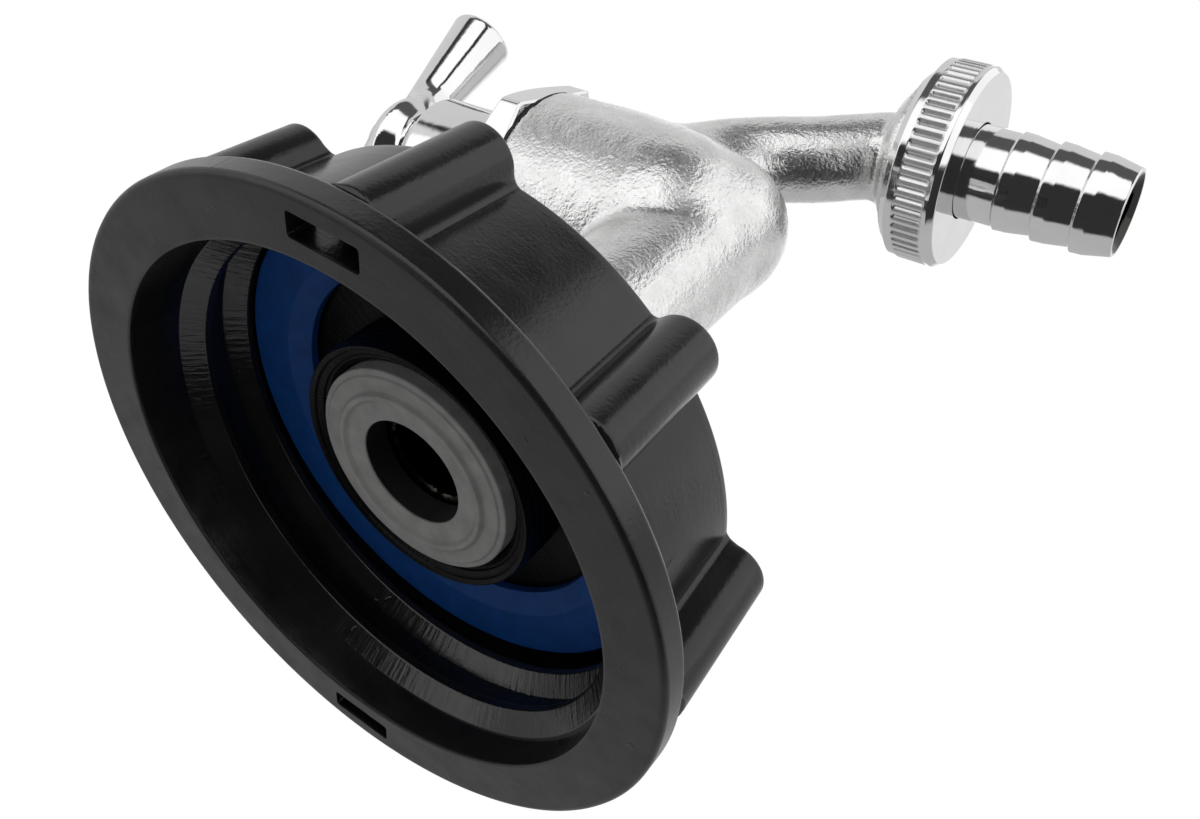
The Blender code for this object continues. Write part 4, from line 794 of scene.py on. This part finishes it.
class VALVE_OT_casting(bpy.types.Operator):
    """Builds the cast tap body from neck, barrel, nose and bent spout, with its cast surface"""
    bl_idname = "valve.casting"
    bl_label = "Cast tap body"

    def execute(self, context):
        settings = context.scene.valve_tap
        mesh = remeshed("tap_body", settings.voxel)
        co, normal = settled(mesh, lambda points: casting_distance(points)[0])
        x, z = co[:, 0], co[:, 2]
        hollow = casting_distance(co)[1]
        cast = np.clip((x - 25.0) / 2.0, 0.0, 1.0) * np.clip(z + 13.0, 0.0, 1.0)
        cast = np.where(hollow, 0.0, cast * np.clip((23.6 - z) / 0.6, 0.0, 1.0))
        lumps = 0.6 * ripples(co, 2.6, 60, 3) + 0.4 * ripples(co, 1.3, 60, 5) - 0.9
        co += normal * (cast * lumps * settings.lumps / MM)[:, None]
        write_points(mesh, co)
        # painted shade: the hollow and the neck's end inside the cap, x under 16 mm, are marked so that they
        # render nearly black
        mark(mesh, "bore", lambda x, y, z: hollow | (x < 16.0))
        mesh.name = "cast_body"
        nickel = cast_material("cast_nickel_plate", settings.nickel)
        add_piece("cast_body", mesh, nickel, "tap", ["tap_body"], 50.0)
        return {"FINISHED"}


# Bonnet, gland nut, handle and its screw

class VALVE_OT_bonnet(bpy.types.Operator):
    """Builds the chromed hexagon on the barrel, its thin gasket and the round gland nut over it"""
    bl_idname = "valve.bonnet"
    bl_label = "Bonnet and gland nut"

    def execute(self, context):
        chrome = plated_material("bonnet_chrome", context.scene.valve_chrome.chrome)
        turn = np.radians(14.5)
        # Six sides whose columns crowd towards the corners, and a radius of flat / cos(angle from the middle)
        share = np.linspace(-1.0, 1.0, 31)[:-1]
        share = np.sign(share) * (1.0 - (1.0 - np.abs(share)) ** 1.6)
        angle = (np.arange(6)[:, None] * TAU / 6 + share * TAU / 12).ravel()
        off = np.abs((angle + TAU / 12) % (TAU / 6) - TAU / 12)
        flat = 14.1 / np.cos(off)
        flat = flat - 0.15 * np.clip((off - np.radians(28.6)) / np.radians(1.4), 0.0, 1.0) ** 2
        drop = (flat - 13.8) * 0.6
        ones = np.ones_like(angle)
        low, high = BARREL_TOP + 0.34, 28.9
        corners = [(low, 12.0, 0.05), (low, flat - 0.4, 0.1), (low + 0.2, flat, 0.08),
                   (high - drop, flat, 0.12), (high, 13.8, 0.1), (high, 7.4, 0.2), (38.0, 7.4, 0.2),
                   (38.0, 6.2, 0.1), (32.5, 6.2, 0.1), (32.5, 4.3, 0.1), (30.5, 4.3, 0.1), (30.5, 5.3, 0.1),
                   (19.5, 5.3, 0.1), (19.5, 12.0, 0.2)]
        columns = np.stack([np.stack([ones * part for part in corner], -1) for corner in corners], 1)
        up, out = np.moveaxis(rounded(columns, 3, 0.12), -1, 0)
        around = angle[:, None] + turn + np.pi / 6.0
        grid = np.stack([SPINDLE_X + out * np.cos(around), out * np.sin(around), up], -1)
        bonnet = grid_mesh("hexagon_bonnet", grid)
        add_piece("hexagon_bonnet", bonnet, chrome, "tap", ["bonnet"])

        centre = (SPINDLE_X, 0.0, 0.0)
        under, over = BARREL_TOP + 0.02, BARREL_TOP + 0.32
        outline = rounded([(under, 12.2, 0.05), (under, 14.6, 0.1), (over, 14.6, 0.1), (over, 12.2, 0.05)])
        gasket = grid_mesh("thin_gasket", turned(outline, "Z", centre))
        fibre = rubber_material("dark_gasket_fibre", (0.01, 0.01, 0.01))
        add_piece("thin_gasket", gasket, fibre, "tap", ["bonnet_gasket"])

        outline = rounded([(29.3, 7.7, 0.1), (29.3, 9.15, 0.25), (44.2, 9.15, 0.6), (44.2, 4.3, 0.15),
                           (40.8, 4.3, 0.1), (40.8, 7.7, 0.1)], 8, 0.2)
        gland = grid_mesh("gland_collar", turned(outline, "Z", centre, 192))
        add_piece("gland_collar", gland, chrome, "tap", ["gland_nut"])
        return {"FINISHED"}


def handle_distance(points, inner):
    """Distance to the handle: a domed hub and two cones laid on their sides, joined with fillets. For the
    points on its inner side it's the distance to the square socket, the bore round the spindle and the
    screw's seat instead."""
    x, y, z = points.T
    x = x - SPINDLE_X
    about = np.hypot(x, y)
    turn = np.radians(-23.4)
    along = x * np.cos(turn) + y * np.sin(turn)
    beside = -x * np.sin(turn) + y * np.cos(turn)
    up = z - HANDLE_HEIGHT
    dome = np.sqrt(about ** 2 + (np.maximum(z - 49.9, 0.0) * 1.6) ** 2) - 7.9
    skirt = about - 6.4 - 1.4 * np.clip((z - 48.0) / 2.4, 0.0, 1.0)
    hub = np.maximum(np.maximum(dome, 46.6 - z), skirt)
    reach = np.abs(along)
    cone = np.hypot(beside, up) - 3.3 - 1.8 * np.clip((reach - 6.8) / 16.6, -0.2, 1.0)
    cone = cone * np.cos(0.108)
    arms = smooth_high(cone, np.sqrt((reach - 5.0) ** 2 + 0.35 * (beside ** 2 + up ** 2)) - 19.4, 0.8)
    body = smooth_low(hub, arms, 4.2)
    square = np.maximum(np.maximum(np.abs(x), np.abs(y)) - 3.3, np.maximum(up, 49.3 - z))
    hollow = np.minimum(square, np.maximum(about - 4.3, z - 49.4))
    hollow = np.minimum(hollow, np.maximum(about - 3.0, 54.6 - z))
    return np.where(inner, -hollow, body)


class VALVE_OT_handle(bpy.types.Operator):
    """Builds the T-handle and the slotted screw that holds it"""
    bl_idname = "valve.handle"
    bl_label = "T-handle"

    def execute(self, context):
        settings = context.scene.valve_chrome
        chrome = plated_material("handle_chrome", settings.chrome)
        mesh = remeshed("t_handle", settings.voxel)
        x, y, z = point_table(mesh).T
        about = np.hypot(x - SPINDLE_X, y)
        inner = (about < 3.4) | ((about < 4.45) & (z < 50.0)) | ((about < 5.1) & (z > 48.0) & (z < 54.6))
        co, _ = settled(mesh, lambda points: handle_distance(points, inner), 6)
        write_points(mesh, co)
        mesh.name = "tee_handle"
        add_piece("tee_handle", mesh, chrome, "handle", ["t_handle"], 60.0)

        profile = rounded([(54.65, 0.001, 0.0), (54.65, 2.9, 0.1), (55.5, 2.9, 0.3), (55.75, 0.001, 0.0)],
                          5, 0.2)
        grid = turned(profile, "Z", (SPINDLE_X, 0.0, 0.0), 96)
        across = grid[..., 1] * np.cos(0.5) - (grid[..., 0] - SPINDLE_X) * np.sin(0.5)
        slot = np.clip((0.45 - np.abs(across)) / 0.1, 0.0, 1.0) * (grid[..., 2] > 55.0)
        grid[..., 2] -= 0.55 * slot
        screw = grid_mesh("slotted_screw", grid)
        add_piece("slotted_screw", screw, chrome, "handle", ["handle_screw"])
        return {"FINISHED"}


# Union nut and hose tail

class VALVE_OT_outlet(bpy.types.Operator):
    """Builds the knurled union nut and the barbed hose tail"""
    bl_idname = "valve.outlet"
    bl_label = "Union nut and hose tail"

    def execute(self, context):
        settings = context.scene.valve_chrome
        chrome = plated_material("nut_chrome", settings.chrome)
        outline = [(NUT_TOP, 13.3, 0.15), (NUT_TOP, 13.9, 0.2), (NUT_TOP - 1.1, NUT_RADIUS, 0.3),
                   (KNURL_TOP, NUT_RADIUS, 0.15), (KNURL_TOP - 0.4, 14.6, 0.15),
                   (KNURL_END + 0.4, 14.6, 0.15), (KNURL_END, NUT_RADIUS, 0.15),
                   (NUT_BOTTOM + 0.9, NUT_RADIUS, 0.3), (NUT_BOTTOM, 14.2, 0.3), (NUT_BOTTOM, 7.2, 0.1),
                   (-22.5, 7.2, 0.1), (-22.5, 13.3, 0.1)]
        profile = rounded(outline, 4, 0.15)
        count = settings.knurl_count
        angle = np.arange(count * 12) * TAU / (count * 12)
        ridge = np.abs(((angle * count / TAU) % 1.0) - 0.5) * 2.0
        ridge = np.sin(np.clip(1.25 * ridge, 0.0, 1.0) * np.pi / 2.0)
        z, r = profile[:, :1], profile[:, 1:]
        depth = settings.knurl_depth / MM
        gone = np.clip((NUT_RADIUS - r) / depth, 0.0, 1.0) * ((z < KNURL_TOP + 0.1) & (z > KNURL_END - 0.09))
        radius = r + gone * depth * ridge
        grid = np.stack([OUTLET_X + radius * np.cos(angle), radius * np.sin(angle), z + 0.0 * radius], -1)
        nut = grid_mesh("knurled_nut", grid)
        mark(nut, "grip", lambda x, y, z: (
            (z < KNURL_TOP) & (z > KNURL_END) & (np.hypot(x - OUTLET_X, y) > 14.0)))
        add_piece("knurled_nut", nut, chrome, "nut", ["union_nut"], 50.0)

        top, end = -29.6, TAIL_END
        pitch = (top - end) / 3.0
        bore = TAIL_BORE_RADIUS
        outline = [(-20.6, bore, 0.1), (-20.6, 11.8, 0.15), (-22.2, 11.8, 0.15), (-22.2, 7.0, 0.3)]
        for barb in range(3):
            crest = top - pitch * barb
            outline += [(crest + 0.3, 7.0 if barb == 0 else 6.7, 0.1), (crest, 7.35, 0.15)]
            outline += [(crest - 0.3 * pitch, 7.25, 1.5)]
        outline += [(end, 6.4, 0.3), (end, bore + 1.0, 0.1), (end + 0.9, bore, 0.3)]
        tail = grid_mesh("barbed_tail", turned(rounded(outline, 5, 0.2), "Z", (OUTLET_X, 0.0, 0.0), 192))
        # painted shade: the bore of the tail is marked so that it renders nearly black
        mark(tail, "bore", lambda x, y, z: np.hypot(x - OUTLET_X, y) < bore + 0.98)
        add_piece("barbed_tail", tail, chrome, "tail", ["hose_tail"], 50.0)
        return {"FINISHED"}


# Hidden pieces and stage

class VALVE_OT_inner(bpy.types.Operator):
    """Gives the pieces inside the valve their own finishes"""
    bl_idname = "valve.inner"
    bl_label = "Inner pieces"

    def execute(self, context):
        finishes = {
            # the brass is dark brown, far darker than bright brass, so that the spindle's visible strip under
            # the hub renders dark
            "brass": plated_material("turned_brass", (0.30, 0.20, 0.08), (0.3, 0.45)),
            "fibre": rubber_material("gasket_fibre", (0.035, 0.030, 0.026)),
            "black_rubber": rubber_material("black_washer_rubber", (0.02, 0.02, 0.02)),
            "graphite_packing": rubber_material("packing_graphite", (0.05, 0.05, 0.055), (0.35, 0.5)),
        }
        inner = {"inlet_seal_ring": "fibre", "gland_follower": "brass",
                 "packing_ring_lower": "graphite_packing", "packing_ring_upper": "graphite_packing",
                 "spindle": "brass", "valve_disc": "brass", "valve_washer": "black_rubber",
                 "washer_nut": "brass", "tail_gasket": "black_rubber"}
        for node, finish in inner.items():
            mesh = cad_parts[node].data
            mesh.materials.clear()
            mesh.materials.append(finishes[finish])
        return {"FINISHED"}


def placed(thing, right, back, place):
    """Turns an object so that it looks along -back, with right as its own X, and puts it at a place.
    The third direction is the cross product of the other two."""
    turn = np.eye(4)
    turn[:3, 0], turn[:3, 1], turn[:3, 2], turn[:3, 3] = right, np.cross(back, right), back, place
    thing.matrix_world = Matrix(turn.tolist())


def normalised(direction):
    """A direction brought to length 1."""
    return direction / np.linalg.norm(direction)


def add_lamp(name, place, size, power):
    """A square soft lamp that faces the middle of the valve."""
    lamp = bpy.data.lights.new(name, "AREA")
    lamp.size = size
    lamp.energy = power
    holder = bpy.data.objects.new(name, lamp)
    bpy.context.scene.collection.objects.link(holder)
    back = normalised(place - VALVE_MIDDLE)
    placed(holder, normalised(np.cross([0.0, 0.0, 1.0], back)), back, place)
    holder.visible_glossy = False


def lean(tree, where, axis):
    """How far a direction leans along an axis, from -1 to 1."""
    return add_node(tree, "ShaderNodeVectorMath", {0: where, 1: tuple(axis)},
                    operation="DOT_PRODUCT").outputs["Value"]


def window(tree, value, low, high, edge):
    """1 between low and high, falling smoothly to 0 over edge outside them."""
    rise = ranged(tree, value, low - edge, low, interpolation_type="SMOOTHSTEP")
    fall = ranged(tree, value, high + edge, high, interpolation_type="SMOOTHSTEP")
    return sums(tree, "MULTIPLY", rise, fall)


def studio_world(ambient):
    """A world that is white to the camera and an even grey light to the surfaces. Mirrors see a dim
    room with the white and grey sheets that are listed above.

    The height of a direction is its angle from the camera's side up over the valve, in degrees; its
    aside is how far it leans to the right."""
    world = bpy.data.worlds.new("studio")
    bpy.context.scene.world = world
    world.use_nodes = True
    tree = world.node_tree
    tree.nodes.clear()
    output = add_node(tree, "ShaderNodeOutputWorld")
    path = add_node(tree, "ShaderNodeLightPath")
    where = add_node(tree, "ShaderNodeTexCoord").outputs["Generated"]
    aside = lean(tree, where, RIGHTWARD)
    up = lean(tree, where, UPWARD)
    toward = lean(tree, where, BACKWARD)
    height = sums(tree, "MULTIPLY", sums(tree, "ARCTAN2", up, toward), 180.0 / np.pi)
    sheets = []
    for strength, low, high, soft, left, right, edge in SHEETS:
        sheet = sums(tree, "MULTIPLY", window(tree, height, low, high, soft),
                     window(tree, aside, left, right, edge))
        sheets.append(sums(tree, "MULTIPLY", sheet, strength))
    level = sheets[0]
    for sheet in sheets[1:]:
        level = sums(tree, "MAXIMUM", level, sheet)
    level = sums(tree, "ADD", level, ROOM_LEVEL)
    grey = add_node(tree, "ShaderNodeCombineColor", {0: level, 1: level, 2: level}).outputs[0]
    room = add_node(tree, "ShaderNodeBackground", {"Color": grey, "Strength": 1.0})
    fill = add_node(tree, "ShaderNodeBackground", {"Color": (1.0, 1.0, 1.0, 1.0), "Strength": ambient})
    white = add_node(tree, "ShaderNodeBackground", {"Color": (1.0, 1.0, 1.0, 1.0), "Strength": 1.0})
    shiny = add_node(tree, "ShaderNodeMixShader", {0: path.outputs["Is Glossy Ray"], 1: fill.outputs[0],
                                                   2: room.outputs[0]})
    seen = add_node(tree, "ShaderNodeMixShader", {0: path.outputs["Is Camera Ray"], 1: shiny.outputs[0],
                                                  2: white.outputs[0]})
    tree.links.new(seen.outputs[0], output.inputs["Surface"])


class VALVE_OT_stage(bpy.types.Operator):
    """Builds the pale floor, the soft lamp, the white surroundings and the camera"""
    bl_idname = "valve.stage"
    bl_label = "Stage"

    def execute(self, context):
        settings = context.scene.valve_stage
        scene = context.scene
        scene.view_settings.view_transform = "Standard"
        studio_world(settings.ambient)
        u, v = np.meshgrid(np.linspace(-1.5, 1.5, 9), np.linspace(-1.5, 1.5, 9))
        grid = np.stack([u + VALVE_MIDDLE[0], v, 0.0 * u + settings.floor_height], -1)
        mesh = bpy.data.meshes.new("floor")
        mesh.from_pydata(grid.reshape(-1, 3).tolist(), [], grid_faces(9, 9, False, False).tolist())
        material, tree, shader, where = begin_material("pale_floor")
        tree.links.new(mixed(tree, noise(tree, where, 8.0), [c * 0.97 for c in settings.floor_colour],
                             settings.floor_colour), shader.inputs["Base Color"])
        shader.inputs["Roughness"].default_value = 0.8
        below = (VALVE_MIDDLE[0], VALVE_MIDDLE[1], settings.floor_height)
        away = add_node(tree, "ShaderNodeVectorMath", {0: where, 1: below},
                        operation="DISTANCE").outputs["Value"]
        fade = ranged(tree, away, 0.12, 0.27, interpolation_type="SMOOTHSTEP")
        clear = add_node(tree, "ShaderNodeLightPath").outputs["Is Camera Ray"]
        glow = add_node(tree, "ShaderNodeEmission", {"Strength": 1.0})
        blend = add_node(tree, "ShaderNodeMixShader", {0: sums(tree, "MULTIPLY", fade, clear),
                                                       1: shader.outputs[0], 2: glow.outputs[0]})
        tree.links.new(blend.outputs[0], tree.nodes["Material Output"].inputs["Surface"])
        mesh.materials.append(material)
        floor = bpy.data.objects.new("floor", mesh)
        scene.collection.objects.link(floor)
        floor.visible_glossy = False
        overhead = np.array([0.04, 0.0, 0.0]) + 0.45 * UPWARD + 0.25 * BACKWARD
        add_lamp("overhead_lamp", overhead, 0.4, settings.lamp)

        eye = bpy.data.cameras.new("photo_camera")
        eye.sensor_width = SENSOR_WIDTH
        eye.lens = FOCAL_PIXELS / PHOTO_WIDTH * SENSOR_WIDTH
        eye.clip_start = 0.001
        camera = bpy.data.objects.new("photo_camera", eye)
        scene.collection.objects.link(camera)
        back = normalised(BACKWARD)
        placed(camera, normalised(RIGHTWARD - back * (RIGHTWARD @ back)), back, EYE * MM)
        scene.camera = camera
        return {"FINISHED"}


class VALVE_PT_panel(bpy.types.Panel):
    """Lists the valve's pieces"""
    bl_label = "Tank valve"
    bl_space_type = "VIEW_3D"
    bl_region_type = "UI"
    bl_category = "Valve"

    def draw(self, context):
        for operator in OPERATORS:
            self.layout.operator(operator.bl_idname)


OPERATORS = (VALVE_OT_cap, VALVE_OT_seals, VALVE_OT_bush, VALVE_OT_casting, VALVE_OT_bonnet, VALVE_OT_handle,
             VALVE_OT_outlet, VALVE_OT_inner, VALVE_OT_stage)
SETTINGS = {"valve_cap": CapSettings, "valve_seals": SealSettings, "valve_tap": TapSettings,
            "valve_chrome": ChromeSettings, "valve_stage": StageSettings}


def register():
    for group in SETTINGS.values():
        bpy.utils.register_class(group)
    for name, group in SETTINGS.items():
        setattr(bpy.types.Scene, name, PointerProperty(type=group))
    for operator in OPERATORS + (VALVE_PT_panel,):
        bpy.utils.register_class(operator)


def unregister():
    for operator in OPERATORS + (VALVE_PT_panel,):
        bpy.utils.unregister_class(operator)
    for name, group in SETTINGS.items():
        delattr(bpy.types.Scene, name)
        bpy.utils.unregister_class(group)


def main():
    register()
    for operator in OPERATORS:
        group, name = operator.bl_idname.split(".")
        getattr(getattr(bpy.ops, group), name)()


if __name__ == "__main__":
    main()
